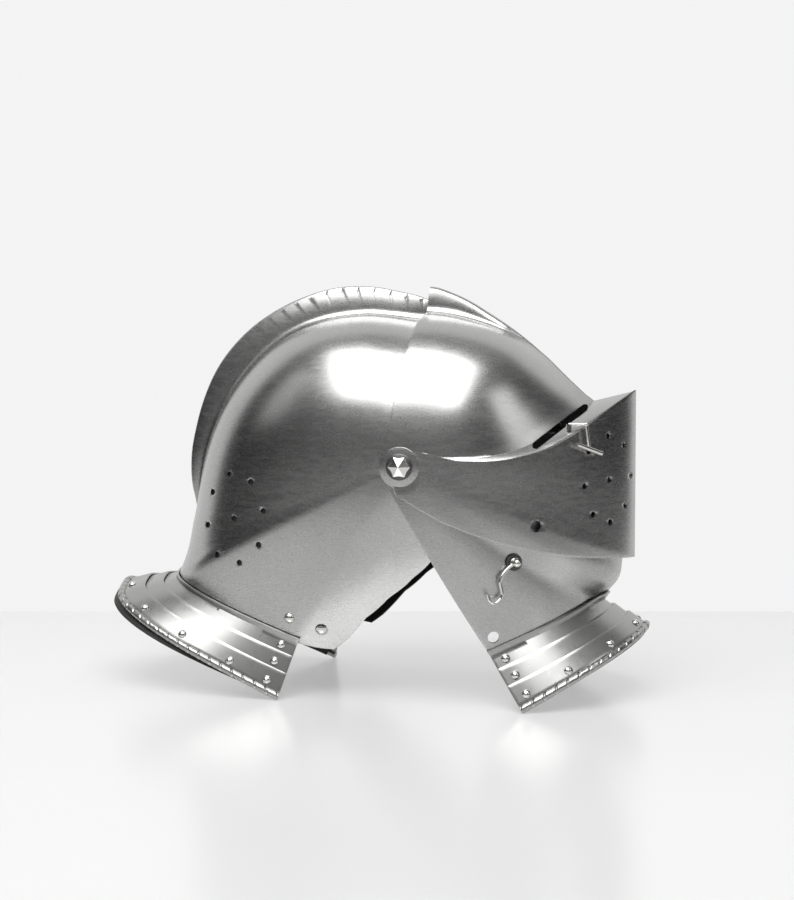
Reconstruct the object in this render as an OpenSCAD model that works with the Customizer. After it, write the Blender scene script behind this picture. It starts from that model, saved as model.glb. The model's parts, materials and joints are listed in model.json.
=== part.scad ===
// Close helmet with comb, visor, ventail, bevor and laminated collar.
// Shown with the whole face swung up about the pivots at the temples.
// +X is the front, +Y the wearer's left and +Z up. The collar tips stand on z = 0.

/* [Plates] */
// Half the width of the skull over the pivots
half_w = 92; // [89:1:95]
// Thickness of every steel plate
plate = 1.5; // [1.3:0.1:1.7]
// Gap between plates that slide on each other
play = 0.6; // [0.5:0.05:0.7]
// How far the bevor turns from wide open to shut, in degrees
bevor_turn = 55; // [53:1:55]
/* [Pivots] */
// Radius of the pivot bolt's shank
bolt_r = 3; // [2.5:0.1:3.5]
// Running clearance round the shank
bolt_play = 0.06; // [0.03:0.01:0.09]
// Radius of the round washer under the bolt head
washer_r = 9.5; // [8.5:0.5:11]
// Thickness of that washer
washer_t = 1.2; // [0.8:0.1:1.6]
// Radius of the six-pointed bolt head
head_r = 8.2; // [7:0.2:8.4]
// Height of the head's point over the washer
head_h = 5; // [3:0.5:6]
// Radius of the ventail's round end
ventail_eye_r = 14.2; // [13:0.2:15]
// Radius of the visor's round end
visor_eye_r = 12.5; // [12:0.5:13.5]
// Radius of the bevor's round end
bevor_eye_r = 16; // [15:0.5:17]
// Radius of the skull's plate round the pivot
skull_eye_r = 15.4; // [15:0.2:16]
// Across-flats radius of the nut inside the skull
nut_r = 5.5; // [5:0.5:7]
// Thickness of that nut
nut_t = 3; // [2:0.5:4]
/* [Comb] */
// Half the thickness of the comb's blade
comb_half_t = 2.1; // [1.6:0.1:2.4]
// Half-thickness at which the bowl starts to rise into the comb
comb_foot = 10; // [8:1:12]
// Space between the comb and the hollow keel of the visor that covers it
comb_room = 1.2; // [0.8:0.1:1.6]
/* [Breaths] */
// Radius of the round breathing holes
breath_r = 2.3; // [1.8:0.1:2.8]
// Radius of the ring of eight breaths behind the ear
ring_r = 33; // [30:1:35]
// Width of the sight slot
sight_w = 5.6; // [4.5:0.1:6.5]
// Radius of the large hole in the ventail
stud_hole_r = 4.2; // [3.5:0.1:4.8]
// Radius of the locking hole in the bevor
lock_r = 4.2; // [3.9:0.1:4.8]
/* [Collar] */
// Drop of the rear collar from the neck line to its rim
nape_drop = 21; // [18:1:24]
// How far the rear collar spreads at the nape
nape_spread = 40; // [37:1:43]
// How far both collars spread at their ends
end_spread = 17; // [14:1:20]
// Drop of the front collar under the chin
chin_drop = 29; // [26:1:32]
// How far the front collar spreads under the chin
chin_spread = 24; // [21:1:27]
// How far one lame laps over the next
lap = 5; // [4:0.5:6]
// Radius of the roped rim
rope_r = 2.9; // [2.4:0.1:3.4]
// Radius of the small rivet heads
rivet_r = 3.2; // [2.8:0.1:3.6]
// Radius of the small rivets' shanks
rivet_shank = 1.2; // [0.9:0.1:1.5]
// Thickness of the leather parts
leather = 1.6; // [1.2:0.1:2]
// How far the rear lining shows under the rim at the nape
lining_show = 5; // [3:0.5:7]
/* [Fittings] */
// Radius of the domed stud and of the rivet behind it
dome_r = 4; // [3.6:0.1:4.1]
// Thickness of the spring leaf that carries the stud
leaf_t = 1; // [0.8:0.1:1.2]
// Radius of the hook's wire
wire_r = 1.25; // [1:0.05:1.5]
// Radius of the hook's washer
hook_washer_r = 6; // [5:0.5:7]
// Length of the lifting peg's crossbar
bar_len = 24; // [20:1:26]
// Radius of the lifting peg's crossbar
bar_r = 1.7; // [1.4:0.1:2]
// Thickness of the padded lining of the skull
pad_t = 3; // [2:0.5:4]

/* [Hidden] */

// One plate and the gap over it
pitch = plate + play;
// Gap under rivet heads and leathers, and round their shanks
seat = 0.25;
snug = 0.04;
// Levels of the nested plates, outwards from the skull
SKULL = 0;
BEVOR = 1;
VISOR = 2;
VENTAIL = 3;
function wide(level) = half_w + level * pitch;

// Outlines in the side view, as [angle, radius] about the pivot.
// An angle of 0 is forward and 90 is up.
skull_line = [[12, 105], [40, 105], [70, 105], [92, 105.5], [101, 110], [110, 117], [119, 124.5],
    [127, 132], [135, 139.5], [143, 146.5], [154, 154.5], [165, 162.5], [178, 172], [186, 178.5],
    [192, 185], [196, 191.5], [199.5, 198], [202.5, 206], [205.3, 216.5], [208, 222],
    [215, 226], [225, 226], [238, 220], [250, 199], [262, 174], [274, 165], [286, 159], [300, 155]];
comb_line = [[12, 107.5], [40, 109.5], [60, 111.5], [75, 114.5], [84, 119], [90, 123], [94, 126],
    [100, 130.8], [105, 136], [110.7, 141.8], [119, 150], [127, 156.9], [135, 164], [143, 171],
    [152, 177.6], [158, 181], [165, 183.6], [173, 186.2], [179, 188.5], [186, 189.4],
    [192, 188.6], [196, 193.2], [199.5, 199.2], [202.5, 207], [205.3, 217.5]];
visor_line = [[19.5, 134.6], [23, 129.5], [31, 123], [40, 119.6], [50, 117], [60, 113.8],
    [70, 111.6], [80, 111], [90, 111], [170, 111]];
keel_line = [[19.5, 135.6], [23, 130.5], [31, 124.2], [40, 121], [49, 119.9], [58, 120.2],
    [66, 121.8], [73, 124.9], [80, 128.3], [88.3, 131.8], [170, 131.8]];
bevor_line = [[-75, 235], [-66, 227], [-62, 217], [-57, 205], [-49, 190], [-43, 178],
    [-38.5, 170.3], [-35.5, 170], [-32, 171.3], [-29.5, 170.5], [-26, 166.8], [-20, 162.5],
    [-15, 160]];
ventail_low = [[-110, 190], [-75, 215], [-62, 217], [-50, 197], [-38, 184], [-30, 179.5], [-24, 174.4]];
// Distance of the ventail's upright prow from the pivot
prow_x = 159.3;
// How sharp the middle of the face is, as [angle, exponent]: 1 is a keel, 2 is round
sharpness = [[-110, 2.1], [-66, 2.1], [-50, 1.9], [-38, 1.6], [-24, 1.32], [0, 1.25], [18, 1.25],
    [30, 1.5], [45, 1.8], [60, 2.0], [75, 2.1], [170, 2.1]];
belly = 2.3;
// The same for the skull, whose cheeks follow the face plates that close over them
skull_soft = [[12, 2.1], [238, 2.1], [250, 1.64], [262, 1.36], [274, 1.2], [286, 1.14], [300, 1.1]];

// Smooth curve through the points of a table
function seg(t, a, i = 0) = (i >= len(t) - 2 || a <= t[i + 1][0]) ? i : seg(t, a, i + 1);
function rise(t, i) =
    i == 0 ? (t[1][1] - t[0][1]) / (t[1][0] - t[0][0]) :
    i == len(t) - 1 ? (t[i][1] - t[i - 1][1]) / (t[i][0] - t[i - 1][0]) :
    (t[i + 1][1] - t[i - 1][1]) / (t[i + 1][0] - t[i - 1][0]);
function curve(t, a) = let(
    i = seg(t, a), h = t[i + 1][0] - t[i][0], u = min(1, max(0, (a - t[i][0]) / h)),
    v = 1 - u)
    t[i][1] * (1 + 2 * u) * v * v + t[i + 1][1] * u * u * (3 - 2 * u)
    + h * u * v * (v * rise(t, i) - u * rise(t, i + 1));
function straight(t, a) = let(i = seg(t, a), u = (a - t[i][0]) / (t[i + 1][0] - t[i][0]))
    t[i][1] + (t[i + 1][1] - t[i][1]) * min(1, max(0, u));
function mix(a, b, t) = a + (b - a) * t;
// Round angles are kept between -180 and 180 for the face plates
function polar(a, rho, y) = [rho * cos(a), y, rho * sin(a)];

// Radius of each plate at an angle, without its comb or keel
function skull_radius(a) = curve(skull_line, a);
function ventail_radius(a) = a < -24 ? curve(ventail_low, a) : prow_x / cos(min(a, 20));
function bevor_radius(a) = curve(bevor_line, a);
function soft(a) = curve(sharpness, a);
function skull_bend(a) = straight(skull_soft, a);
// Half-width of a plate of width w and radius r at a distance from the pivot
function half_at(w, r, m, rho) = w * pow(max(0, 1 - pow(rho / r, belly)), 1 / m);
// The same as a point on the section, for an angle u from 0 at the pivot to 90 at the middle
function share(u) = pow(sin(u), 2 / belly);
function on_section(w, r, m, u) = [r * share(u), w * pow(cos(u), 2 / m)];
function u_of(rho, r) = asin(pow(rho / r, belly / 2));

// Columns of a section: over the bowl, then into the comb
bowl_cols = 9;
blade_cols = 5;
cols = bowl_cols + blade_cols;
hub_r = 9;
// How far a round end stands over the plate's own face
eye_proud = 0.12;
// How far the skull's round seat reaches inwards past its plate
skull_eye_deep = 1.3;
bowl_end = 84;
function bowl_share(j) = j == 1 ? 0.055 : max(0, j - 1) / (bowl_cols - 2);
function plain_u(j, u0, u1) = j < bowl_cols ? mix(u0, bowl_end, bowl_share(j))
    : mix(bowl_end, u1, (j - bowl_cols + 1) / blade_cols);
function plain_section(w, r, m) = let(u0 = u_of(hub_r, r))
    [for (j = [0:cols - 1]) j == cols - 1 ? [r, 0] : on_section(w, r, m, plain_u(j, u0, 90))];
function cut_section(w, r, m, rho) = let(u0 = u_of(hub_r, r), u1 = u_of(rho, r))
    [for (j = [0:cols - 1]) on_section(w, r, m,
        u0 + (plain_u(j, u0, 90) - u0) * (u1 - u0) / (90 - u0))];
function bezier(a, b, c, t) = a * (1 - t) * (1 - t) + b * 2 * t * (1 - t) + c * t * t;
// Section that rises through a fillet into a blade of half-thickness b that ends at radius c
function blade_section(w, r, m, c, b, foot) = let(
    h = c - r, be = b * min(1, h / 6),
    u0 = u_of(hub_r, r), u1 = min(bowl_end, acos(pow(foot / w, m / 2))),
    p0 = on_section(w, r, m, u1), q = on_section(w, r, m, u1 - 0.5),
    p1 = [p0.x + (p0.x - q.x) / (p0.y - q.y) * (be - p0.y), be],
    p2 = [max(p1.x, r) + min(7, 0.45 * h), be])
    concat([for (j = [0:bowl_cols - 1]) on_section(w, r, m, mix(u0, u1, bowl_share(j)))],
        [for (t = [0.35, 0.7, 1]) bezier(p0, p1, p2, t)], [[c - 0.8 * be, be], [c, 0]]);

// A plate between two nets of points on the right half, and its mirror image.
// Each row runs from the pivot to the middle of the helmet, or to a free edge.
module shell(outer, inner, joined) {
    n = len(outer);
    m = len(outer[0]);
    half = 2 * n * m;
    right = concat([for (r = outer) each r], [for (r = inner) each r]);
    points = concat(right, [for (p = right) [p.x, -p.y, p.z]]);
    function at(side, skin, i, j) =
        (side == 1 && j == m - 1 && joined[i] ? 0 : side * half) + skin * n * m + i * m + j;
    function quad(a, b, c, d, turned) = turned ? [[a, b, c], [a, c, d]] : [[c, b, a], [d, c, a]];
    faces = [for (s = [0, 1]) each concat(
        [for (i = [0:n - 2], j = [0:m - 2], k = [0, 1])
            each quad(at(s, k, i, j), at(s, k, i, j + 1), at(s, k, i + 1, j + 1), at(s, k, i + 1, j),
                k != s)],
        [for (i = [0:n - 2]) each quad(at(s, 0, i, 0), at(s, 0, i + 1, 0), at(s, 1, i + 1, 0),
            at(s, 1, i, 0), s == 1)],
        [for (i = [0:n - 2]) if (!(joined[i] && joined[i + 1]))
            each quad(at(s, 0, i, m - 1), at(s, 0, i + 1, m - 1), at(s, 1, i + 1, m - 1),
                at(s, 1, i, m - 1), s == 0)],
        [for (j = [0:m - 2]) each quad(at(s, 0, 0, j), at(s, 0, 0, j + 1), at(s, 1, 0, j + 1),
            at(s, 1, 0, j), s == 0)],
        [for (j = [0:m - 2]) each quad(at(s, 0, n - 1, j), at(s, 0, n - 1, j + 1),
            at(s, 1, n - 1, j + 1), at(s, 1, n - 1, j), s == 1)])];
    polyhedron(points, faces, convexity = 10);
}
function placed(a, section) = [for (p = section) polar(a, p.x, -p.y)];
function turned_in(p, a) = [p.x * cos(a) - p.z * sin(a), p.y, p.x * sin(a) + p.z * cos(a)];

// Round end of a plate about the pivot, on both sides
module eye(level, r, deep = 0.25) {
    t = plate + eye_proud + deep;
    for (s = [-1, 1]) translate([0, s * (wide(level) + eye_proud - t / 2) - t / 2, 0])
        rotate([-90, 0, 0]) cylinder(r = r, h = t, $fn = 64);
}
// Room that a plate leaves for the round end under it
module eye_room(level, r) {
    reach = wide(level) + eye_proud + 0.06;
    translate([0, -reach, 0]) rotate([-90, 0, 0]) cylinder(r = r + play, h = 2 * reach, $fn = 64);
}
module pivot_bore(r) {
    translate([0, -wide(VENTAIL) - 5, 0]) rotate([-90, 0, 0])
        cylinder(r = r, h = 2 * wide(VENTAIL) + 10, $fn = 48);
}

// Planes in which the rear and the front collar join the helmet
nape_tilt = 19.5;
nape_angle = 205.3;
nape_end = 238;
chin_angle = -38.3;
chin_end = -66;
nape_point = polar(nape_angle, curve(comb_line, nape_angle), 0);
nape_along = [cos(nape_tilt), 0, -sin(nape_tilt)];
nape_down = [-sin(nape_tilt), 0, -cos(nape_tilt)];
function nape_rho(a, h = 0) = let(d = nape_point * nape_down - h)
    d / (cos(a) * nape_down.x + sin(a) * nape_down.z);
chin_tilt = 23.3;
chin_point = polar(chin_angle, bevor_radius(chin_angle), 0);
chin_along = [-cos(chin_tilt), 0, -sin(chin_tilt)];
chin_down = [sin(chin_tilt), 0, -cos(chin_tilt)];
function chin_rho(a, h = 0) = let(d = chin_point * chin_down - h)
    d / (cos(a) * chin_down.x + sin(a) * chin_down.z);
// Edge of the cheek in front of the collar, as [angle, radius]
cheek_edge = [[238, 157], [247.6, 149.5], [250, 140], [254.6, 117], [262.6, 97], [274.3, 81],
    [286, 71], [300, 45]];
skull_rows = [12, 36, 60, 78, 88, 94, 101, 109, 118, 127, 136, 146, 157, 168, 179, 188, 194, 199,
    203, 205.3, 206, 208, 212, 219, 228, 238, 247.6, 250, 254.6, 265, 282, 300];
function skull_edge(a) = a < nape_end ? nape_rho(a) : straight(cheek_edge, a);
function skull_outer(a) = a <= nape_angle
    ? blade_section(wide(SKULL), skull_radius(a), skull_bend(a), curve(comb_line, a), comb_half_t,
        comb_foot)
    : cut_section(wide(SKULL), skull_radius(a), skull_bend(a), skull_edge(a));
function skull_inner(a, t) = a <= nape_angle
    ? plain_section(wide(SKULL) - t, skull_radius(a) - t, skull_bend(a))
    : cut_section(wide(SKULL) - t, skull_radius(a) - t, skull_bend(a), skull_edge(a));

module skull() {
    color("silver") frame() difference() {
        union() {
            shell([for (a = skull_rows) placed(a, skull_outer(a))],
                [for (a = skull_rows) placed(a, skull_inner(a, plate))],
                [for (a = skull_rows) a <= nape_angle]);
            eye(SKULL, skull_eye_r, skull_eye_deep);
        }
        pivot_bore(bolt_r + snug);
        on_skull(far_rivets[0], [1]) drill(rivet_shank + snug);
        on_skull(far_rivets[1], [1]) drill(rivet_shank + snug);
        for (p = ear_breaths) let(q = polar(p.x, p.y, 0))
            translate([q.x, -half_w, q.z]) rotate([-90, 0, 0])
                cylinder(r = breath_r, h = 2 * half_w, $fn = 24);
        on_skull(stud_place, [-1]) drill(dome_r + play);
        on_skull(rivet_place, [-1]) drill(rivet_shank + snug);
    }
}

// Places on a plate's outer surface, with +Z of the child pointing out of the steel
function skin_point(kind, a, rho, off = 0) =
    let(level = kind, r = kind == SKULL ? skull_radius(a) : kind == BEVOR ? bevor_radius(a)
        : kind == VISOR ? curve(visor_line, a) : ventail_radius(a),
        m = kind == SKULL ? skull_bend(a) : soft(a))
    polar(a, rho, half_at(wide(level) + off, r + off, m, rho));
function unit(v) = v / norm(v);
function normal(kind, a, rho) = let(
    along = skin_point(kind, a, rho + 0.5) - skin_point(kind, a, rho - 0.5),
    across = skin_point(kind, a + 0.5, rho) - skin_point(kind, a - 0.5, rho),
    n = unit(cross(along, across))) n.y < 0 ? -n : n;
// Turns a child's +Z to the direction n
module facing(n) {
    rotate([0, 0, atan2(n.y, n.x)]) rotate([0, acos(n.z), 0]) children();
}
module on_plate(kind, place, sides = [-1, 1]) {
    p = skin_point(kind, place.x, place.y);
    n = normal(kind, place.x, place.y);
    for (s = sides) translate([p.x, s * p.y, p.z]) facing([n.x, s * n.y, n.z]) children();
}
module on_skull(place, sides = [-1, 1]) {
    on_plate(SKULL, place, sides) children();
}
module drill(r, deep = 12) {
    translate([0, 0, -deep / 2]) cylinder(r = r, h = deep, $fn = 32);
}
function to_polar(x, z) = [let(a = atan2(z, x)) a < 0 ? a + 360 : a, norm([x, z])];

// Ring of breaths behind the ear, with one in the middle
ear_centre = polar(197.6, 138, 0);
ear_breaths = concat([to_polar(ear_centre.x, ear_centre.z)],
    [for (k = [0:7]) let(t = k * 45 + 12) to_polar(ear_centre.x + 0.8 * ring_r * cos(t),
        ear_centre.z + ring_r * sin(t))]);
// Locking stud and the rivet of its spring, as [angle, radius]
stud_place = [242.4, 137.5];
rivet_place = [232.4, 144];

// Visor
visor_rear = [[6, 170], [12, 160], [17, 138], [24, 113], [32, 104], [45, 97.5], [60, 94],
    [80, 91], [100, 89.5], [132, 88.3]];
visor_notch = [[0.04, 60], [0.1, 45], [0.2, 16.5], [0.33, 8.8], [0.45, 7.2], [0.6, 8.4],
    [0.7, 10.9], [0.8, 14], [0.9, 17.3], [1, 19.5]];
ventail_top = [[0.035, 90], [0.1, 38], [0.2, 11.1], [0.33, 4.6], [0.44, 3.9], [0.52, 4.8],
    [0.63, 7], [0.71, 9.8], [0.8, 12.7], [0.9, 16], [1, 18.5]];
ventail_bottom = [[0.035, -150], [0.06, -130], [0.1, -100], [0.138, -69], [0.255, -51.5],
    [0.37, -43], [0.48, -37.6], [0.585, -33.8], [0.69, -30.8], [0.8, -28], [0.89, -26], [1, -24]];
visor_rows = [0, 0.12, 0.26, 0.4, 0.54, 0.68, 0.8, 0.9, 1];
keel_half_t = comb_half_t + comb_room + plate;
// Angle between two radii that are one plate's thickness apart
function plate_angle(rho) = min(2.5, plate / rho * 180 / PI);
function visor_bowl(s, off) = let(
    mid = mix(88.3, 19.5, s), r = curve(visor_line, mid) - off,
    flat = blade_section(wide(VISOR) - off, r, soft(mid), max(curve(keel_line, mid) - off, r + 0.8),
        keel_half_t - off, comb_foot + keel_half_t - comb_half_t - off))
    [for (j = [0:cols - 1]) let(share_j = min(1, flat[j].x / r),
        a = mix(straight(visor_rear, flat[j].x), curve(visor_notch, share_j), s))
        polar(a, flat[j].x, -flat[j].y)];
function tuck(drop, off) = [for (j = [0:cols - 1]) let(
    u = plain_u(j, u_of(hub_r, prow_x), 90), w = wide(VISOR) - off, share_j = share(u),
    a = min(curve(ventail_top, share_j), curve(visor_notch, share_j) - 3 * (1 - share_j)) - drop,
    r = ventail_radius(a) - pitch - off, m = soft(a))
    polar(a, j == 0 ? hub_r : r * share_j, j == cols - 1 ? 0 : -w * pow(cos(u), 2 / m))];
function between(a, b, t) = [for (j = [0:cols - 1]) mix(a[j], b[j], t)];
function lowered(row, t) = [for (p = row) let(rho = norm([p.x, p.z]),
    d = -plate_angle(rho) * t) turned_in(p, d)];
tuck_depth = 6;
visor_top_rows = [for (s = visor_rows) visor_bowl(s, 0)];
visor_under_rows = [for (s = visor_rows) visor_bowl(s, plate)];
ledge = [0.5, 1];
module visor_shell() {
    last = len(visor_rows) - 1;
    outer = concat(visor_top_rows,
        [for (t = ledge) between(visor_top_rows[last], tuck(0, 0), t)],
        [for (d = [tuck_depth / 2, tuck_depth]) tuck(d, 0)]);
    inner = concat([for (i = [0:last]) i < last ? visor_under_rows[i]
            : lowered(visor_under_rows[last], 0.6)],
        [for (t = ledge) lowered(between(visor_under_rows[last], tuck(0, plate), t), 1)],
        [for (d = [tuck_depth / 2, tuck_depth]) tuck(d + 0.6, plate)]);
    // The rows run downwards, so the nets are turned over
    shell([for (i = [len(outer) - 1:-1:0]) outer[i]], [for (i = [len(inner) - 1:-1:0]) inner[i]],
        [for (r = outer) true]);
}
sight_from = [92.9, 15];
sight_to = [122.6, 40.2];
module sight() {
    d = sight_to - sight_from;
    for (s = [-1, 1]) translate([0, s > 0 ? 7 : -7 - half_w, 0]) {
        for (p = [sight_from, sight_to]) translate([p.x, 0, p.y]) rotate([-90, 0, 0])
            cylinder(r = sight_w / 2, h = half_w, $fn = 24);
        translate([sight_from.x, 0, sight_from.y]) rotate([0, -atan2(d.y, d.x), 0])
            translate([0, 0, -sight_w / 2]) cube([norm(d), half_w, sight_w]);
    }
}
module visor() {
    color("silver") frame() difference() {
        union() {
            visor_shell();
            eye(VISOR, visor_eye_r, 0.4);
        }
        eye_room(BEVOR, bevor_eye_r);
        pivot_bore(bolt_r + bolt_play);
        sight();
    }
}

// Ventail
function ventail_row(s, off) = [for (j = [0:cols - 1]) let(
    u = plain_u(j, u_of(hub_r, prow_x), 90), share_j = share(u),
    a = mix(curve(ventail_bottom, share_j), curve(ventail_top, share_j), s),
    r = ventail_radius(a) - off, m = soft(a))
    polar(a, j == 0 ? hub_r : r * share_j,
        j == cols - 1 ? 0 : -(wide(VENTAIL) - off) * pow(cos(u), 2 / m))];
ventail_rows = [0, 0.15, 0.32, 0.5, 0.68, 0.85, 1];
ventail_breaths = [[8.3, 142.8], [5.1, 152.2], [-3.4, 156.4], [-4.6, 142.7], [-6.9, 127],
    [-11.6, 155.8], [-15.3, 136.6], [-16.6, 149.2], [4.3, 128.9]];
stud_hole_place = [-24.1, 103.3];
module ventail() {
    color("silver") frame() difference() {
        union() {
            shell([for (s = ventail_rows) ventail_row(s, 0)],
                [for (s = ventail_rows) ventail_row(s, plate)], [for (s = ventail_rows) true]);
            eye(VENTAIL, ventail_eye_r);
        }
        eye_room(VISOR, visor_eye_r);
        pivot_bore(bolt_r + bolt_play);
        for (p = ventail_breaths) on_plate(VENTAIL, p) drill(breath_r, 5);
        on_plate(VENTAIL, stud_hole_place) drill(stud_hole_r, 6);
    }
}

// Bevor
bevor_rows = [-66, -60, -54, -48.5, -44, -41, -39.2, -38.3, -35.5, -32, -28.5, -25, -20, -15];
edge_slope = -59.5;
function bevor_back(rho) = edge_slope - asin(min(0.97, bevor_eye_r / rho));
function bevor_angle(a, rho) = a + (bevor_back(rho) - chin_end) * (bevor_rows[13] - a)
    / (bevor_rows[13] - chin_end);
function bevor_section(a, off) = let(w = wide(BEVOR) - off, r = bevor_radius(a) - off)
    a < chin_angle ? cut_section(w, r, soft(a), chin_rho(a)) : plain_section(w, r, soft(a));
function bevor_row(a, off) = [for (p = bevor_section(a, off)) polar(bevor_angle(a, p.x), p.x, -p.y)];
hook_place = [-41, 104];
module bevor() {
    color("silver") frame() difference() {
        union() {
            shell([for (a = bevor_rows) bevor_row(a, 0)], [for (a = bevor_rows) bevor_row(a, plate)],
                [for (a = bevor_rows) a >= chin_angle]);
            eye(BEVOR, bevor_eye_r);
        }
        eye_room(SKULL, skull_eye_r);
        pivot_bore(bolt_r + bolt_play);
        rotate([0, -bevor_turn, 0]) on_skull(stud_place, [-1]) drill(lock_r);
        on_plate(BEVOR, stud_hole_place) drill(stud_hole_r, 6);
        on_hook_place() drill(rivet_shank + snug);
    }
}

// Collars: the ring in the neck plane, and the cone of lames that spreads down from it.
// A place on a collar is t, from 0 at the middle to 1 at the free end, and v, from 0 at
// the neck line to 1 at the rim. The lap over the wall above the neck line has v = -1.
NAPE = 0;
CHIN = 1;
end_drop = 38.4;
chin_shift = 7;
collar_steps = 12;
collar_t = [for (i = [collar_steps:-1:0]) i / collar_steps];
function ring(c, t, h = 0) = c == NAPE
    ? let(a = mix(nape_angle - 0.19 * h, nape_end, t * t), rho = nape_rho(a, h))
        polar(a, rho, t == 0 ? 0 : -half_at(wide(SKULL), skull_radius(a), skull_bend(a), rho))
    : let(a = mix(chin_angle + 0.645 * h, chin_end, t * t), rho = chin_rho(a, h))
        polar(bevor_angle(a, rho), rho,
            t == 0 ? 0 : -half_at(wide(BEVOR), bevor_radius(a), soft(a), rho));
// Direction out of the ring, taken from an ellipse as long and as wide as the neck
neck_long = 98;
neck_wide = 72;
function outward(c, t) = let(along = c == NAPE ? nape_along : chin_along,
    p = ring(c, t), s = (p - ring(c, 0)) * along)
    unit(along * (s - neck_long) / pow(neck_long, 2) + [0, p.y / pow(neck_wide, 2), 0]);
function flare(c, t) = let(k = pow(cos(90 * t), 2)) c == NAPE
    ? [mix(end_spread, nape_spread, k), mix(nape_drop, end_drop, t)]
    : [mix(end_spread, chin_spread, k), mix(chin_drop, end_drop, t)];
function lame_off(k) = play + k * pitch;
rim_off = lame_off(2) + plate / 2;
function cone(c, t) = let(f = flare(c, t), turn = atan2(f[0], f[1]) - asin(rim_off / norm(f)))
    sqrt(f * f - rim_off * rim_off) * [sin(turn), cos(turn)];
function lame_at(c, t, v, off) = let(
    out = outward(c, t), down = c == NAPE ? nape_down : chin_down, p = ring(c, t), e = cone(c, t),
    wall = unit(p - ring(c, t, lap)), run = unit(out * e[0] + down * e[1]),
    nw = unit(out - (out * wall) * wall), nr = unit(out - (out * run) * run))
    v < 0 ? ring(c, t, -v * lap) + nw * off :
    v == 0 ? p + (nw + nr) * off / (1 + nw * nr) :
    p + run * norm(e) * v + nr * off + (c == CHIN ? [chin_shift * t * t * v, 0, 0] : [0, 0, 0]);
function lame_normal(c, t, v) = unit(lame_at(c, t, v, 1) - lame_at(c, t, v, 0));
function rope_at(c, t, turn, side) = lame_at(c, t, 1, rim_off)
    + rope_r * (side * cos(turn) * lame_normal(c, t, 1)
    + sin(turn) * unit(lame_at(c, t, 1, 0) - lame_at(c, t, 0.9, 0)));
rope_from = -acos(plate / 2 / rope_r);
rope_turns = [for (i = [0:4]) mix(rope_from, -rope_from, i / 4)];
// Where one lame ends and the next begins, and the length of a lame's lap as a share
splits = [0.36, 0.68];
lap_share = lap / 45;
module net(c, outer, inner) {
    n = len(outer) - 1;
    order = c == NAPE ? [for (i = [0:n]) i] : [for (i = [n:-1:0]) i];
    shell([for (i = order) outer[i]], [for (i = order) inner[i]],
        [for (i = order) outer[i][len(outer[i]) - 1].y == 0]);
}
module lame(c, k, places) {
    outer = [for (v = places) [for (t = collar_t) lame_at(c, t, v, lame_off(k) + plate)]];
    inner = [for (v = places) [for (t = collar_t) lame_at(c, t, v, lame_off(k))]];
    net(c, concat(outer, k < 2 ? [] : [for (a = rope_turns) [for (t = collar_t) rope_at(c, t, a, 1)]]),
        concat(inner, k < 2 ? [] : [for (a = rope_turns) [for (t = collar_t) rope_at(c, t, a, -1)]]));
}
// A strip of leather inside a collar, given by its rows of v and the columns of t
module strip(c, rows, columns, off) {
    net(c, [for (v = rows) [for (t = columns) lame_at(c, t, v(t), off + leather)]],
        [for (v = rows) [for (t = columns) lame_at(c, t, v(t), off)]]);
}
module on_lame(c, place, k) {
    t = place[0];
    v = place[1];
    off = lame_off(k) + plate;
    p = lame_at(c, t, v, off);
    square = unit(cross(lame_at(c, t + 0.02, v, off) - lame_at(c, t - 0.02, v, off),
        lame_at(c, t, v + 0.02, off) - lame_at(c, t, v - 0.02, off)));
    n = square * lame_normal(c, t, v) < 0 ? -square : square;
    for (s = [1, -1]) translate([p.x, s * p.y, p.z]) facing([n.x, s * n.y, n.z]) children();
}
rim_v = 0.82;
nape_rim = [0.12, 0.34, 0.56, 0.78];
chin_rim = [0.14, 0.42, 0.7];
end_places = [[0.94, 0.14], [0.94, 0.46], [0.94, rim_v]];
strap_off = play - seat - leather;
lining_off = rim_off - rope_r - seat - leather;

// Frame: the pivot's height over the floor, where the collar tips are cut flat, and its
// distance from the middle of the helmet's length
tip_cut = 0.4;
function tip(c) = lame_at(c, 1, 1, rim_off).z - rope_r;
pivot_z = -max(tip(NAPE), tip(CHIN)) - tip_cut;
rear_x = lame_at(NAPE, 0, 1 + (rope_r + lining_show) / norm(cone(NAPE, 0)), lining_off).x;
pivot_x = -(rear_x + lame_at(CHIN, 0, 1, rim_off).x + rope_r) / 2;
module frame() {
    translate([pivot_x, 0, pivot_z]) children();
}
module above_floor() {
    difference() {
        children();
        translate([-500, -500, -pivot_z - 20]) cube([1000, 1000, 20]);
    }
}

// A rivet with its head on the steel: z = 0 is the outer face
module dome(r, h) {
    ball = (r * r + h * h) / (2 * h);
    intersection() {
        translate([0, 0, h - ball]) sphere(r = ball, $fn = 48);
        cylinder(r = r, h = h, $fn = 48);
    }
}
module rivet(r, h, shank, deep, tail_r) {
    translate([0, 0, seat]) dome(r, h);
    translate([0, 0, -deep - 0.8]) cylinder(r = shank, h = deep + 0.8 + seat + 0.1, $fn = 24);
    translate([0, 0, -deep - 0.8]) cylinder(r = tail_r, h = 0.8, $fn = 24);
}
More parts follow.
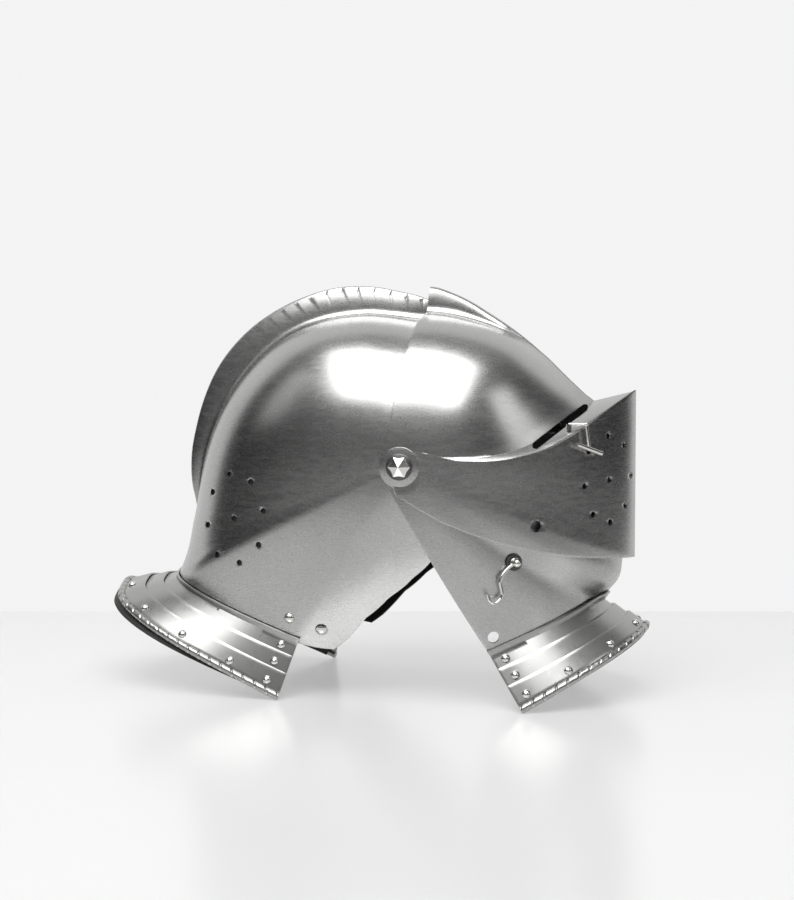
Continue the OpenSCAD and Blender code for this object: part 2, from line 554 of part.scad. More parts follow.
// Depth from a lame's face to just under the leather that its rivet holds
function rivet_deep(k, off) = lame_off(k) + plate - off + seat + 0.5;
module rim_rivets(c, list) {
    for (t = list) on_lame(c, [t, rim_v], 2)
        rivet(rivet_r, 2, rivet_shank, rivet_deep(2, lining_off), 2 * rivet_shank);
}
module end_rivets(c) {
    for (k = [0:2]) on_lame(c, end_places[k], k)
        rivet(rivet_r, 2, rivet_shank, rivet_deep(k, strap_off), 2 * rivet_shank);
}
module rivet_holes(c, list) {
    for (t = list) on_lame(c, [t, rim_v], 2) drill(rivet_shank + snug, 16);
    for (k = [0:2]) on_lame(c, end_places[k], k) drill(rivet_shank + snug, 24);
}
module upper_lame(c) {
    color("silver") frame() difference() {
        lame(c, 0, [-1, 0, splits[0] / 2, splits[0]]);
        on_lame(c, end_places[0], 0) drill(rivet_shank + snug, 24);
    }
}
module middle_lame(c) {
    color("silver") frame() difference() {
        lame(c, 1, [splits[0] - lap_share, mix(splits[0], splits[1], 0.3), splits[1]]);
        on_lame(c, end_places[1], 1) drill(rivet_shank + snug, 24);
    }
}
module lower_lame(c, list) {
    color("silver") frame() above_floor() difference() {
        lame(c, 2, [splits[1] - lap_share, mix(splits[1], 1, 0.4)]);
        for (t = list) on_lame(c, [t, rim_v], 2) drill(rivet_shank + snug, 16);
        on_lame(c, end_places[2], 2) drill(rivet_shank + snug, 24);
    }
}
module lining(c, list, show) {
    color("dimgray") frame() above_floor() difference() {
        strip(c, [function(t) 0.76, function(t) 0.9,
            function(t) 1 + (rope_r - 2 + (show + 2) * cos(90 * t)) / norm(cone(c, t))],
            [for (t = collar_t) 0.97 * t], lining_off);
        rivet_holes(c, list);
    }
}
module straps(c) {
    color("dimgray") frame() difference() {
        strip(c, [function(t) 0.07, function(t) 0.5, function(t) 0.9], [0.98, 0.9], strap_off);
        rivet_holes(c, []);
    }
}

module nape_lame_upper() {
    upper_lame(NAPE);
}
module nape_lame_middle() {
    middle_lame(NAPE);
}
module nape_lame_lower() {
    lower_lame(NAPE, nape_rim);
}
module nape_rim_rivets() {
    color("silver") frame() rim_rivets(NAPE, nape_rim);
}
module nape_end_rivets() {
    color("silver") frame() end_rivets(NAPE);
}
module nape_lining() {
    lining(NAPE, nape_rim, lining_show);
}
module nape_straps() {
    straps(NAPE);
}
module chin_lame_upper() {
    upper_lame(CHIN);
}
module chin_lame_middle() {
    middle_lame(CHIN);
}
module chin_lame_lower() {
    lower_lame(CHIN, chin_rim);
}
module chin_rim_rivets() {
    color("silver") frame() rim_rivets(CHIN, chin_rim);
}
module chin_end_rivets() {
    color("silver") frame() end_rivets(CHIN);
}
module chin_lining() {
    lining(CHIN, chin_rim, 0);
}
module chin_straps() {
    straps(CHIN);
}

// Pivot bolts: a six-pointed head on a round washer, with the shank through all four plates
bolt_seat = 0.08;
face = wide(VENTAIL) + eye_proud;
nut_face = wide(SKULL) - plate - skull_eye_deep;
module pivot_bolt(s) {
    points = concat([for (k = [0:11]) let(r = head_r * (k % 2 == 0 ? 1 : 0.8), a = 30 * k)
        [r * cos(a), 0, r * sin(a)]], [[0, -head_h, 0], [0, 0.4, 0]]);
    color("silver") frame() mirror([0, s < 0 ? 0 : 1, 0]) {
        translate([0, -face - bolt_seat, 0]) rotate([90, 0, 0])
            cylinder(r = washer_r, h = washer_t, $fn = 64);
        translate([0, -face - bolt_seat - washer_t, 0]) polyhedron(points,
            [for (k = [0:11]) each [[(k + 1) % 12, k, 12], [k, (k + 1) % 12, 13]]], convexity = 4);
        translate([0, -face - bolt_seat - washer_t / 2, 0]) rotate([-90, 0, 0])
            cylinder(r = bolt_r, h = face - nut_face + nut_t + 2, $fn = 48);
    }
}
module pivot_bolt_right() {
    pivot_bolt(-1);
}
module pivot_bolt_left() {
    pivot_bolt(1);
}
module pivot_nut(s) {
    color("dimgray") frame() mirror([0, s < 0 ? 0 : 1, 0])
        translate([0, -nut_face + bolt_seat, 0]) rotate([-90, 0, 0]) difference() {
            cylinder(r = nut_r / cos(30), h = nut_t, $fn = 6);
            translate([0, 0, -1]) cylinder(r = bolt_r + snug, h = nut_t + 2, $fn = 48);
        }
}
module pivot_nut_right() {
    pivot_nut(-1);
}
module pivot_nut_left() {
    pivot_nut(1);
}

// Black lining of the skull, with a window for the catch and one for the ring of breaths
lining_rows = [36, 60, 78, 88, 94, 101, 109, 118, 127, 136, 146, 157, 168, 179, 188, 194, 199, 203,
    205.3, 206, 208, 212, 219, 228, 238, 247.6];
pad_off = plate + seat;
pad_from = 2;
lining_short = 9;
// The lining leaves the steel a little where the bowl turns in to the neck
lining_slack = [[188, 0], [199, 1.3], [212, 1.3], [228, 0.2], [248, 0.2]];
function lining_row(a, deep) = let(
    t = deep + straight(lining_slack, a), w = wide(SKULL) - t, r = skull_radius(a) - t,
    row = a <= 199 ? plain_section(w, r, skull_bend(a))
        : cut_section(w, r, skull_bend(a), min(0.995 * r, skull_edge(a) - lining_short)))
    [for (j = [pad_from:cols - 1]) polar(a, row[j].x, -row[j].y)];
module skull_lining() {
    color("dimgray") frame() difference() {
        shell([for (a = lining_rows) lining_row(a, pad_off)],
            [for (a = lining_rows) lining_row(a, pad_off + pad_t)], [for (a = lining_rows) a <= 199]);
        translate([ear_centre.x, -half_w, ear_centre.z]) rotate([-90, 0, 0])
            cylinder(r = ring_r + 6, h = 2 * half_w, $fn = 64);
        on_skull(mix(stud_place, rivet_place, 0.5), [-1]) drill(22, 40);
        on_skull(far_rivets[0], [1]) drill(rivet_shank + snug, 16);
        on_skull(far_rivets[1], [1]) drill(rivet_shank + snug, 16);
    }
}
// Two rivets that hold the lining at the far cheek
far_rivets = [[246, 139], [237, 147]];
module lining_rivets() {
    color("silver") frame() for (p = far_rivets) on_skull(p, [1])
        rivet(rivet_r, 2, rivet_shank, pad_off + pad_t + 0.8, 2 * rivet_shank);
}

// Sprung catch: a leaf riveted inside the skull, with a stud that springs into the bevor
function place_at(place, off) = let(p = skin_point(SKULL, place.x, place.y),
    n = normal(SKULL, place.x, place.y)) [p.x, -p.y, p.z] + off * [n.x, -n.y, n.z];
module aligned(p, x, n) {
    z = unit(n);
    ex = unit(x - (x * z) * z);
    ey = cross(z, ex);
    multmatrix([[ex.x, ey.x, z.x, p.x], [ex.y, ey.y, z.y, p.y], [ex.z, ey.z, z.z, p.z], [0, 0, 0, 1]])
        children();
}
leaf_w = 7;
leaf_in = plate + 1.35;
leaf_from = place_at(rivet_place, -leaf_in);
leaf_to = place_at(stud_place, -leaf_in);
leaf_normal = unit(place_at(rivet_place, 1) - place_at(rivet_place, 0)
    + place_at(stud_place, 1) - place_at(stud_place, 0));
stud_out = pitch + 0.45;
module catch_spring() {
    color("dimgray") frame() difference() {
        aligned(leaf_from, leaf_to - leaf_from, leaf_normal) translate([0, 0, -leaf_t]) {
            cylinder(r = leaf_w / 2, h = leaf_t, $fn = 32);
            translate([0, -leaf_w / 2, 0]) cube([norm(leaf_to - leaf_from), leaf_w, leaf_t]);
            translate([norm(leaf_to - leaf_from), 0, 0]) cylinder(r = leaf_w / 2, h = leaf_t, $fn = 32);
        }
        on_skull(rivet_place, [-1]) drill(rivet_shank + 1.6 * seat);
        on_skull(stud_place, [-1]) drill(rivet_shank + snug);
    }
}
module catch_stud() {
    color("silver") frame() on_skull(stud_place, [-1]) {
        translate([0, 0, stud_out - 1.6]) dome(dome_r, 1.6);
        translate([0, 0, -leaf_in + seat + 0.15])
            cylinder(r = dome_r, h = stud_out + leaf_in - seat - 1.7, $fn = 48);
        translate([0, 0, -leaf_in - leaf_t - 1.2]) cylinder(r = rivet_shank, h = leaf_t + 2, $fn = 24);
    }
}
module catch_rivet() {
    color("silver") frame() on_skull(rivet_place, [-1])
        rivet(dome_r, 2.6, rivet_shank, leaf_in + leaf_t + 1.4, 2 * rivet_shank);
}

// Lifting peg: stands on the ledge under the sight and reaches down in front of the ventail
peg_r = 1.2;
peg_room = 2.3;
peg_column = 5;
peg_foot = mix(visor_top_rows[len(visor_rows) - 1][peg_column], tuck(0, 0)[peg_column], 0.7);
bar_place = [5.3, 127.1];
function on_ventail(place, off) = let(p = skin_point(VENTAIL, place.x, place.y),
    n = normal(VENTAIL, place.x, place.y)) [p.x, -p.y, p.z] + off * [n.x, -n.y, n.z];
peg_knee = let(e = ventail_row(1, 0)[peg_column], p = [atan2(e.z, e.x), norm([e.x, e.z])])
    on_ventail(p, peg_room + peg_r) + [0, 0, peg_r + 1.4];
bar_middle = on_ventail(bar_place, peg_room + bar_r);
module rod(p, q, r, fine = 24) {
    translate(p) facing(unit(q - p)) cylinder(r = r, h = norm(q - p), $fn = fine);
}
module lifting_peg() {
    top = [peg_foot.x, peg_foot.y, peg_knee.z];
    way = unit([16.5, 16.7, -7.4]);
    color("silver") frame() {
        rod([peg_foot.x, peg_foot.y, peg_foot.z + seat + 0.95], top, 1.6 * peg_r);
        rod(top, peg_knee, peg_r);
        translate(peg_knee) sphere(r = 1.25 * peg_r, $fn = 32);
        rod(peg_knee, bar_middle, peg_r);
        rod(bar_middle - bar_len / 2 * way, bar_middle + bar_len / 2 * way, bar_r, 32);
    }
}

// Hook at the cheek: a wire hung from a ball rivet over a round washer
hook_washer_t = 1;
hook_ball_r = 3;
hook_neck_r = 1.3;
hook_deep = plate + 2.35;
hook_eye_r = hook_neck_r + wire_r + 0.25;
hook_plane = seat + hook_washer_t + wire_r + 0.15;
hook_path = [[-4.5, -3], [-8.5, -7], [-11.3, -11.5], [-11.6, -15], [-10.4, -19.5], [-10, -23],
    [-11.5, -26], [-15.6, -28.4], [-19.6, -26.4], [-21.5, -21.5]];
module on_hook_place() {
    p = skin_point(BEVOR, hook_place.x, hook_place.y);
    n = normal(BEVOR, hook_place.x, hook_place.y);
    aligned([p.x, -p.y, p.z], [1, 0, 0], [n.x, -n.y, n.z]) children();
}
module hook_washer() {
    color("dimgray") frame() on_hook_place() translate([0, 0, seat]) difference() {
        cylinder(r = hook_washer_r, h = hook_washer_t, $fn = 48);
        translate([0, 0, -1]) cylinder(r = rivet_shank + snug, h = 4, $fn = 32);
    }
}
module hook_staple() {
    color("silver") frame() on_hook_place() {
        translate([0, 0, -hook_deep]) cylinder(r = rivet_shank, h = hook_deep + hook_plane, $fn = 32);
        translate([0, 0, -hook_deep]) cylinder(r = 2 * rivet_shank, h = 0.8, $fn = 32);
        translate([0, 0, seat + hook_washer_t + 0.05])
            cylinder(r = hook_neck_r, h = 2 * wire_r + 0.6, $fn = 32);
        translate([0, 0, hook_plane + wire_r + hook_ball_r * 0.72]) sphere(r = hook_ball_r, $fn = 48);
    }
}
// The wire is one tube along a path in the hook's own plane
wire_path = concat([for (k = [0:10]) let(a = -40 + 25.4 * k) hook_eye_r * [cos(a), sin(a)]], hook_path);
wire_sides = 10;
module hook() {
    n = len(wire_path);
    way = [for (i = [0:n - 2]) unit(wire_path[i + 1] - wire_path[i])];
    rings = [for (i = [0:n - 1]) let(d = unit(way[max(0, i - 1)] + way[min(n - 2, i)]),
        wider = wire_r / max(0.7, way[min(n - 2, i)] * d))
        for (k = [0:wire_sides - 1]) let(a = 360 * k / wire_sides)
            [wire_path[i].x - d.y * wider * cos(a), wire_path[i].y + d.x * wider * cos(a),
                wire_r * sin(a)]];
    sides = [for (i = [0:n - 2], k = [0:wire_sides - 1]) let(m = (k + 1) % wire_sides, b = i * wire_sides)
        [b + wire_sides + k, b + wire_sides + m, b + m, b + k]];
    color("silver") frame() on_hook_place() translate([0, 0, hook_plane])
        polyhedron(rings, concat(sides, [[for (k = [0:wire_sides - 1]) k]],
            [[for (k = [wire_sides - 1:-1:0]) (n - 1) * wire_sides + k]]), convexity = 6);
}

skull();
visor();
ventail();
bevor();
nape_lame_upper();
nape_lame_middle();
nape_lame_lower();
nape_rim_rivets();
nape_end_rivets();
nape_lining();
nape_straps();
chin_lame_upper();
chin_lame_middle();
chin_lame_lower();
chin_rim_rivets();
chin_end_rivets();
chin_lining();
chin_straps();
skull_lining();
pivot_bolt_right();
pivot_bolt_left();
pivot_nut_right();
pivot_nut_left();
catch_spring();
catch_stud();
catch_rivet();
lining_rivets();
lifting_peg();
hook_washer();
hook_staple();
hook();
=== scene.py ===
"""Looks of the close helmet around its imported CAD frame.

Every plate is laid out from the same outlines as the CAD part, on a much finer net,
then thickened, pierced and rounded at its edges. Lengths in the outlines are in
millimetres from the pivot at the temple: +X forward, +Y to the wearer's left, +Z up.
"""
import json
import logging
import math
from dataclasses import dataclass, field
from enum import Enum
from typing import Callable, Sequence

import bmesh
import bpy
from mathutils import Matrix, Vector


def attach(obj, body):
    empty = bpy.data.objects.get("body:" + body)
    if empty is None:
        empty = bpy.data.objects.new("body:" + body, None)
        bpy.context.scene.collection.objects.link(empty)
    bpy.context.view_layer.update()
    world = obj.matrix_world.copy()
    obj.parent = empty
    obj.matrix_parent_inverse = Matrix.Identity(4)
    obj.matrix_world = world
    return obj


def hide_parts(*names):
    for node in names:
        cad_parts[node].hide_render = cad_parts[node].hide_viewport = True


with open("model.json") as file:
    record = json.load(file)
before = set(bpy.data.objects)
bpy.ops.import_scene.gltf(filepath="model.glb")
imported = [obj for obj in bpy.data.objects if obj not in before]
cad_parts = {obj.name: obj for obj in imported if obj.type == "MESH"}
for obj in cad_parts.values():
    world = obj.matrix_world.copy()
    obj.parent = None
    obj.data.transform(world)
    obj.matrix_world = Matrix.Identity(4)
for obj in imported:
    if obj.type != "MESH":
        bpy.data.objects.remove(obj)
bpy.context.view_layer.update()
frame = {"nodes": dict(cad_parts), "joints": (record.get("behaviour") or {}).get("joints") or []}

log = logging.getLogger("close_helmet")
MM = 0.001
RIGHT = -1
LEFT = 1


class Level(Enum):
    """Nested plates, from the skull outwards."""

    SKULL = 0
    BEVOR = 1
    VISOR = 2
    VENTAIL = 3


class Collar(Enum):
    """The two laminated collars."""

    NAPE = "nape"
    CHIN = "chin"


@dataclass(frozen=True)
class Sizes:
    """Sizes that all the plates share, in millimetres and degrees."""

    half_w: float = 92.0
    plate: float = 1.5
    play: float = 0.6
    belly: float = 2.3
    comb_half_t: float = 2.1
    comb_foot: float = 10.0
    keel_half_t: float = 4.8
    prow_x: float = 159.3
    rope_r: float = 2.9
    leather: float = 1.6
    seat: float = 0.25
    pad_t: float = 3.0
    lap: float = 5.0

    @property
    def pitch(self) -> float:
        """One plate and the gap over it."""
        return self.plate + self.play

    def wide(self, level: Level) -> float:
        """Half the width of a plate over the pivots."""
        return self.half_w + level.value * self.pitch


class Outline:
    """Smooth curve through the points of a table."""

    def __init__(self, *points: tuple[float, float]) -> None:
        self.points = points

    def _segment(self, a: float) -> int:
        i = 0
        while i < len(self.points) - 2 and a > self.points[i + 1][0]:
            i += 1
        return i

    def _rise(self, i: int) -> float:
        low, high = max(0, i - 1), min(len(self.points) - 1, i + 1)
        (x0, y0), (x1, y1) = self.points[low], self.points[high]
        return (y1 - y0) / (x1 - x0)

    def __call__(self, a: float) -> float:
        """Value of the smooth curve at a."""
        i = self._segment(a)
        (x0, y0), (x1, y1) = self.points[i], self.points[i + 1]
        h = x1 - x0
        u = min(1.0, max(0.0, (a - x0) / h))
        v = 1 - u
        return (y0 * (1 + 2 * u) * v * v + y1 * u * u * (3 - 2 * u)
                + h * u * v * (v * self._rise(i) - u * self._rise(i + 1)))

    def straight(self, a: float) -> float:
        """Value on the straight lines between the points."""
        i = self._segment(a)
        (x0, y0), (x1, y1) = self.points[i], self.points[i + 1]
        return y0 + (y1 - y0) * min(1.0, max(0.0, (a - x0) / (x1 - x0)))


def cosd(a: float) -> float:
    """Cosine of an angle in degrees."""
    return math.cos(math.radians(a))


def sind(a: float) -> float:
    """Sine of an angle in degrees."""
    return math.sin(math.radians(a))


def mix(a, b, t: float):
    """Value between a and b, for numbers and vectors."""
    return a + (b - a) * t


def polar(a: float, rho: float, y: float) -> Vector:
    """Point at an angle and distance from the pivot, y to the wearer's left."""
    return Vector((rho * cosd(a), y, rho * sind(a)))


SKULL_LINE = Outline(
    (12, 105), (40, 105), (70, 105), (92, 105.5), (101, 110), (110, 117), (119, 124.5),
    (127, 132), (135, 139.5), (143, 146.5), (154, 154.5), (165, 162.5), (178, 172),
    (186, 178.5), (192, 185), (196, 191.5), (199.5, 198), (202.5, 206), (205.3, 216.5),
    (208, 222), (215, 226), (225, 226), (238, 220), (250, 199), (262, 174), (274, 165),
    (286, 159), (300, 155))
COMB_LINE = Outline(
    (12, 107.5), (40, 109.5), (60, 111.5), (75, 114.5), (84, 119), (90, 123), (94, 126),
    (100, 130.8), (105, 136), (110.7, 141.8), (119, 150), (127, 156.9), (135, 164),
    (143, 171), (152, 177.6), (158, 181), (165, 183.6), (173, 186.2), (179, 188.5),
    (186, 189.4), (192, 188.6), (196, 193.2), (199.5, 199.2), (202.5, 207), (205.3, 217.5))
VISOR_LINE = Outline(
    (19.5, 134.6), (23, 129.5), (31, 123), (40, 119.6), (50, 117), (60, 113.8),
    (70, 111.6), (80, 111), (90, 111), (170, 111))
KEEL_LINE = Outline(
    (19.5, 135.6), (23, 130.5), (31, 124.2), (40, 121), (49, 119.9), (58, 120.2),
    (66, 121.8), (73, 124.9), (80, 128.3), (88.3, 131.8), (170, 131.8))
BEVOR_LINE = Outline(
    (-75, 235), (-66, 227), (-62, 217), (-57, 205), (-49, 190), (-43, 178),
    (-38.5, 170.3), (-35.5, 170), (-32, 171.3), (-29.5, 170.5), (-26, 166.8),
    (-20, 162.5), (-15, 160))
VENTAIL_LOW = Outline(
    (-110, 190), (-75, 215), (-62, 217), (-50, 197), (-38, 184), (-30, 179.5), (-24, 174.4))
SHARPNESS = Outline(
    (-110, 2.1), (-66, 2.1), (-50, 1.9), (-38, 1.6), (-24, 1.32), (0, 1.25), (18, 1.25),
    (30, 1.5), (45, 1.8), (60, 2.0), (75, 2.1), (170, 2.1))
SKULL_BEND = Outline(
    (12, 2.1), (238, 2.1), (250, 1.64), (262, 1.36), (274, 1.2), (286, 1.14), (300, 1.1))
VISOR_REAR = Outline(
    (6, 170), (12, 160), (17, 138), (24, 113), (32, 104), (45, 97.5), (60, 94), (80, 91),
    (100, 89.5), (132, 88.3))
VISOR_NOTCH = Outline(
    (0.04, 60), (0.1, 45), (0.2, 16.5), (0.33, 8.8), (0.45, 7.2), (0.6, 8.4), (0.7, 10.9),
    (0.8, 14), (0.9, 17.3), (1, 19.5))
VENTAIL_TOP = Outline(
    (0.035, 90), (0.1, 38), (0.2, 11.1), (0.33, 4.6), (0.44, 3.9), (0.52, 4.8), (0.63, 7),
    (0.71, 9.8), (0.8, 12.7), (0.9, 16), (1, 18.5))
VENTAIL_BOTTOM = Outline(
    (0.035, -150), (0.06, -130), (0.1, -100), (0.138, -69), (0.255, -51.5), (0.37, -43),
    (0.48, -37.6), (0.585, -33.8), (0.69, -30.8), (0.8, -28), (0.89, -26), (1, -24))
CHEEK_EDGE = Outline(
    (238, 157), (247.6, 149.5), (250, 140), (254.6, 117), (262.6, 97), (274.3, 81),
    (286, 71), (300, 45))

NAPE_ANGLE = 205.3
NAPE_END = 238.0
CHIN_ANGLE = -38.3
CHIN_END = -66.0
BEVOR_TOP = -15.0
BOWL_END = 84.0


@dataclass
class Form:
    """The plates' surfaces as formulas, in millimetres from the pivot."""

    sizes: Sizes = field(default_factory=Sizes)

    def radius(self, level: Level, a: float) -> float:
        """Radius of a plate's outline at an angle."""
        if level is Level.SKULL:
            return SKULL_LINE(a)
        if level is Level.BEVOR:
            return BEVOR_LINE(a)
        if level is Level.VISOR:
            return VISOR_LINE(a)
        return VENTAIL_LOW(a) if a < -24 else self.sizes.prow_x / cosd(min(a, 20))

    def soft(self, level: Level, a: float) -> float:
        """Exponent that makes a plate sharp or round across its middle."""
        return SKULL_BEND.straight(a) if level is Level.SKULL else SHARPNESS(a)

    def half_at(self, w: float, r: float, m: float, rho: float) -> float:
        """Half-width of a plate at a distance from the pivot."""
        return w * max(0.0, 1 - (rho / r) ** self.sizes.belly) ** (1 / m)

    def on_section(self, w: float, r: float, m: float, u: float) -> tuple[float, float]:
        """Point (rho, half-width) of a section, u from 0 at the pivot to 90 at the middle."""
        return r * sind(u) ** (2 / self.sizes.belly), w * max(0.0, cosd(u)) ** (2 / m)

    def u_of(self, rho: float, r: float) -> float:
        """The u of a distance from the pivot."""
        return math.degrees(math.asin(min(1.0, (rho / r) ** (self.sizes.belly / 2))))

    def point(self, level: Level, a: float, rho: float, off: float = 0.0, side: int = RIGHT) -> Vector:
        """Point on a plate's outer face.

        Args:
            level: Which plate.
            a: Angle about the pivot, 0 forward and 90 up.
            rho: Distance from the pivot in the side view.
            off: Height over the face.
            side: RIGHT or LEFT.

        Returns:
            The point, from the pivot.
        """
        y = self.half_at(self.sizes.wide(level) + off, self.radius(level, a) + off,
                         self.soft(level, a), rho)
        return polar(a, rho, side * y)

    def normal(self, level: Level, a: float, rho: float, side: int = RIGHT) -> Vector:
        """Direction out of the steel at a place."""
        along = self.point(level, a, rho + 0.5) - self.point(level, a, rho - 0.5)
        across = self.point(level, a + 0.5, rho) - self.point(level, a - 0.5, rho)
        n = along.cross(across).normalized()
        if n.y > 0:
            n = -n
        return Vector((n.x, -side * n.y, n.z))

    def nape_rho(self, a: float, h: float = 0.0) -> float:
        """Distance to the rear neck plane, h above it."""
        tilt = 19.5
        down = Vector((-sind(tilt), 0, -cosd(tilt)))
        d = polar(NAPE_ANGLE, COMB_LINE(NAPE_ANGLE), 0).dot(down) - h
        return d / (cosd(a) * down.x + sind(a) * down.z)

    def chin_rho(self, a: float, h: float = 0.0) -> float:
        """Distance to the front neck plane, h above it."""
        tilt = 23.3
        down = Vector((sind(tilt), 0, -cosd(tilt)))
        d = polar(CHIN_ANGLE, BEVOR_LINE(CHIN_ANGLE), 0).dot(down) - h
        return d / (cosd(a) * down.x + sind(a) * down.z)

    def bevor_angle(self, a: float, rho: float) -> float:
        """Angle at which the bevor's row lies once its rear edge is straight."""
        back = -59.5 - math.degrees(math.asin(min(0.97, 16 / rho)))
        return a + (back - CHIN_END) * (BEVOR_TOP - a) / (BEVOR_TOP - CHIN_END)


class Net:
    """Fine nets of points for each plate, right half, ordered as rows of columns."""

    bowl = 34
    fillet = 8
    crest = 5

    def __init__(self, form: Form) -> None:
        self.form = form
        self.sizes = form.sizes

    @property
    def columns(self) -> int:
        """Number of points in a row."""
        return self.bowl + self.fillet + self.crest

    def _plain_u(self, j: int, u0: float) -> float:
        if j < self.bowl:
            return mix(u0, BOWL_END, j / (self.bowl - 1))
        return mix(BOWL_END, 90.0, (j - self.bowl + 1) / (self.columns - self.bowl))

    def plain(self, w: float, r: float, m: float, hub: float) -> list[tuple[float, float]]:
        """Section that ends on the middle plane."""
        u0 = self.form.u_of(hub, r)
        row = [self.form.on_section(w, r, m, self._plain_u(j, u0)) for j in range(self.columns)]
        row[-1] = (r, 0.0)
        return row

    def cut(self, w: float, r: float, m: float, rho: float, hub: float) -> list[tuple[float, float]]:
        """Section that ends at a free edge."""
        u0, u1 = self.form.u_of(hub, r), self.form.u_of(rho, r)
        return [self.form.on_section(w, r, m, u0 + (self._plain_u(j, u0) - u0) * (u1 - u0) / (90 - u0))
                for j in range(self.columns)]

    def blade(self, w: float, r: float, m: float, c: float, b: float, foot: float,
              hub: float, spread_base: float = 0.0) -> list[tuple[float, float]]:
        """Section that rises through a fillet into a blade with a rounded crest."""
        f = self.form
        h = c - r
        be = b * min(1.0, h / 6)
        base = be + spread_base * min(1.0, max(0.0, (h - 6) / 10))
        u0 = f.u_of(hub, r)
        u1 = min(BOWL_END, math.degrees(math.acos((foot / w) ** (m / 2))))
        x0, y0 = f.on_section(w, r, m, u1)
        xq, yq = f.on_section(w, r, m, u1 - 0.5)
        x1, y1 = x0 + (x0 - xq) / (y0 - yq) * (base - y0), base
        x2, y2 = max(x1, r) + min(7.0, 0.45 * h), base
        row = [f.on_section(w, r, m, mix(u0, u1, j / (self.bowl - 1))) for j in range(self.bowl)]
        for k in range(1, self.fillet + 1):
            t = k / self.fillet
            p, q, s = (1 - t) ** 2, 2 * t * (1 - t), t * t
            row.append((x0 * p + x1 * q + x2 * s, y0 * p + y1 * q + y2 * s))
        start = max(x2, c - be)
        for k in range(1, self.crest + 1):
            t = 90 * k / self.crest
            row.append((start + (c - start) * sind(t), be * cosd(t)))
        row[-1] = (c, 0.0)
        return row

    @staticmethod
    def placed(a: float, row: Sequence[tuple[float, float]]) -> list[Vector]:
        """Section points on the right side at one angle."""
        return [polar(a, rho, -y) for rho, y in row]

    def skull(self) -> list[list[Vector]]:
        """Rows of the skull, from the forehead over the crown to the cheek."""
        s, hub = self.sizes, 4.0
        w = s.wide(Level.SKULL)
        rows = []
        for a in spread((12, 84, 2.5), (84, 200, 1.4), (200, 205.3, 0.6)):
            thick = 1.9 * min(1.0, max(0.0, (a - 92) / 10))
            rows.append(self.placed(a, self.blade(w, SKULL_LINE(a), self.form.soft(Level.SKULL, a),
                                                  COMB_LINE(a), s.comb_half_t, s.comb_foot, hub, thick)))
        for a in spread((205.7, 209, 0.7), (209, 238, 1.6), (238, 262, 1.2), (262, 300, 2.4)):
            edge = self.form.nape_rho(a) if a < NAPE_END else CHEEK_EDGE.straight(a)
            rows.append(self.placed(a, self.cut(w, SKULL_LINE(a), self.form.soft(Level.SKULL, a), edge, hub)))
        return rows

    def visor(self) -> list[list[Vector]]:
        """Rows of the visor, from its rear edge to the fold under the ledge."""
        s, f, hub = self.sizes, self.form, 6.0
        w = s.wide(Level.VISOR)
        rows = []
        last: list[Vector] = []
        for k in range(61):
            t = k / 60
            mid = mix(88.3, 19.5, t)
            r = VISOR_LINE(mid)
            row = self.blade(w, r, SHARPNESS(mid), max(KEEL_LINE(mid), r + 0.8), s.keel_half_t,
                             s.comb_foot + s.keel_half_t - s.comb_half_t, hub)
            last = [polar(mix(VISOR_REAR.straight(rho), VISOR_NOTCH(min(1.0, rho / r)), t), rho, -y)
                    for rho, y in row]
            rows.append(last)
        for k in range(1, 9):
            fold = self._tuck(0.0, hub)
            rows.append([mix(p, q, k / 8) for p, q in zip(last, fold)])
        for drop in (0.4, 2.0, 4.0, 6.0):
            rows.append(self._tuck(drop, hub))
        return rows

    def _tuck(self, drop: float, hub: float) -> list[Vector]:
        s, f = self.sizes, self.form
        row = []
        for j in range(self.columns):
            u = self._plain_u(j, f.u_of(hub, s.prow_x))
            share = sind(u) ** (2 / s.belly)
            a = min(VENTAIL_TOP(share), VISOR_NOTCH(share) - 3 * (1 - share)) - drop
            r = f.radius(Level.VENTAIL, a) - s.pitch
            y = 0.0 if j == self.columns - 1 else s.wide(Level.VISOR) * cosd(u) ** (2 / SHARPNESS(a))
            row.append(polar(a, hub if j == 0 else r * share, -y))
        return row

    def ventail(self) -> list[list[Vector]]:
        """Rows of the ventail, from its low edge to its top edge."""
        s, f, hub = self.sizes, self.form, 7.0
        rows = []
        for k in range(57):
            t = k / 56
            row = []
            for j in range(self.columns):
                u = self._plain_u(j, f.u_of(hub, s.prow_x))
                share = sind(u) ** (2 / s.belly)
                a = mix(VENTAIL_BOTTOM(share), VENTAIL_TOP(share), t)
                r = f.radius(Level.VENTAIL, a)
                y = 0.0 if j == self.columns - 1 else s.wide(Level.VENTAIL) * cosd(u) ** (2 / SHARPNESS(a))
                row.append(polar(a, hub if j == 0 else r * share, -y))
            rows.append(row)
        return rows

    def bevor(self) -> list[list[Vector]]:
        """Rows of the bevor, from its rear edge to its hidden top edge."""
        s, f, hub = self.sizes, self.form, 7.0
        w = s.wide(Level.BEVOR)
        rows = []
        for a in spread((-66, -39.2, 0.9)):
            rows.append(self._turned(a, self.cut(w, BEVOR_LINE(a), SHARPNESS(a), f.chin_rho(a), hub)))
        for a in spread((-38.3, -15, 0.75)):
            rows.append(self._turned(a, self.plain(w, BEVOR_LINE(a), SHARPNESS(a), hub)))
        return rows

    def _turned(self, a: float, row: Sequence[tuple[float, float]]) -> list[Vector]:
        return [polar(self.form.bevor_angle(a, rho), rho, -y) for rho, y in row]

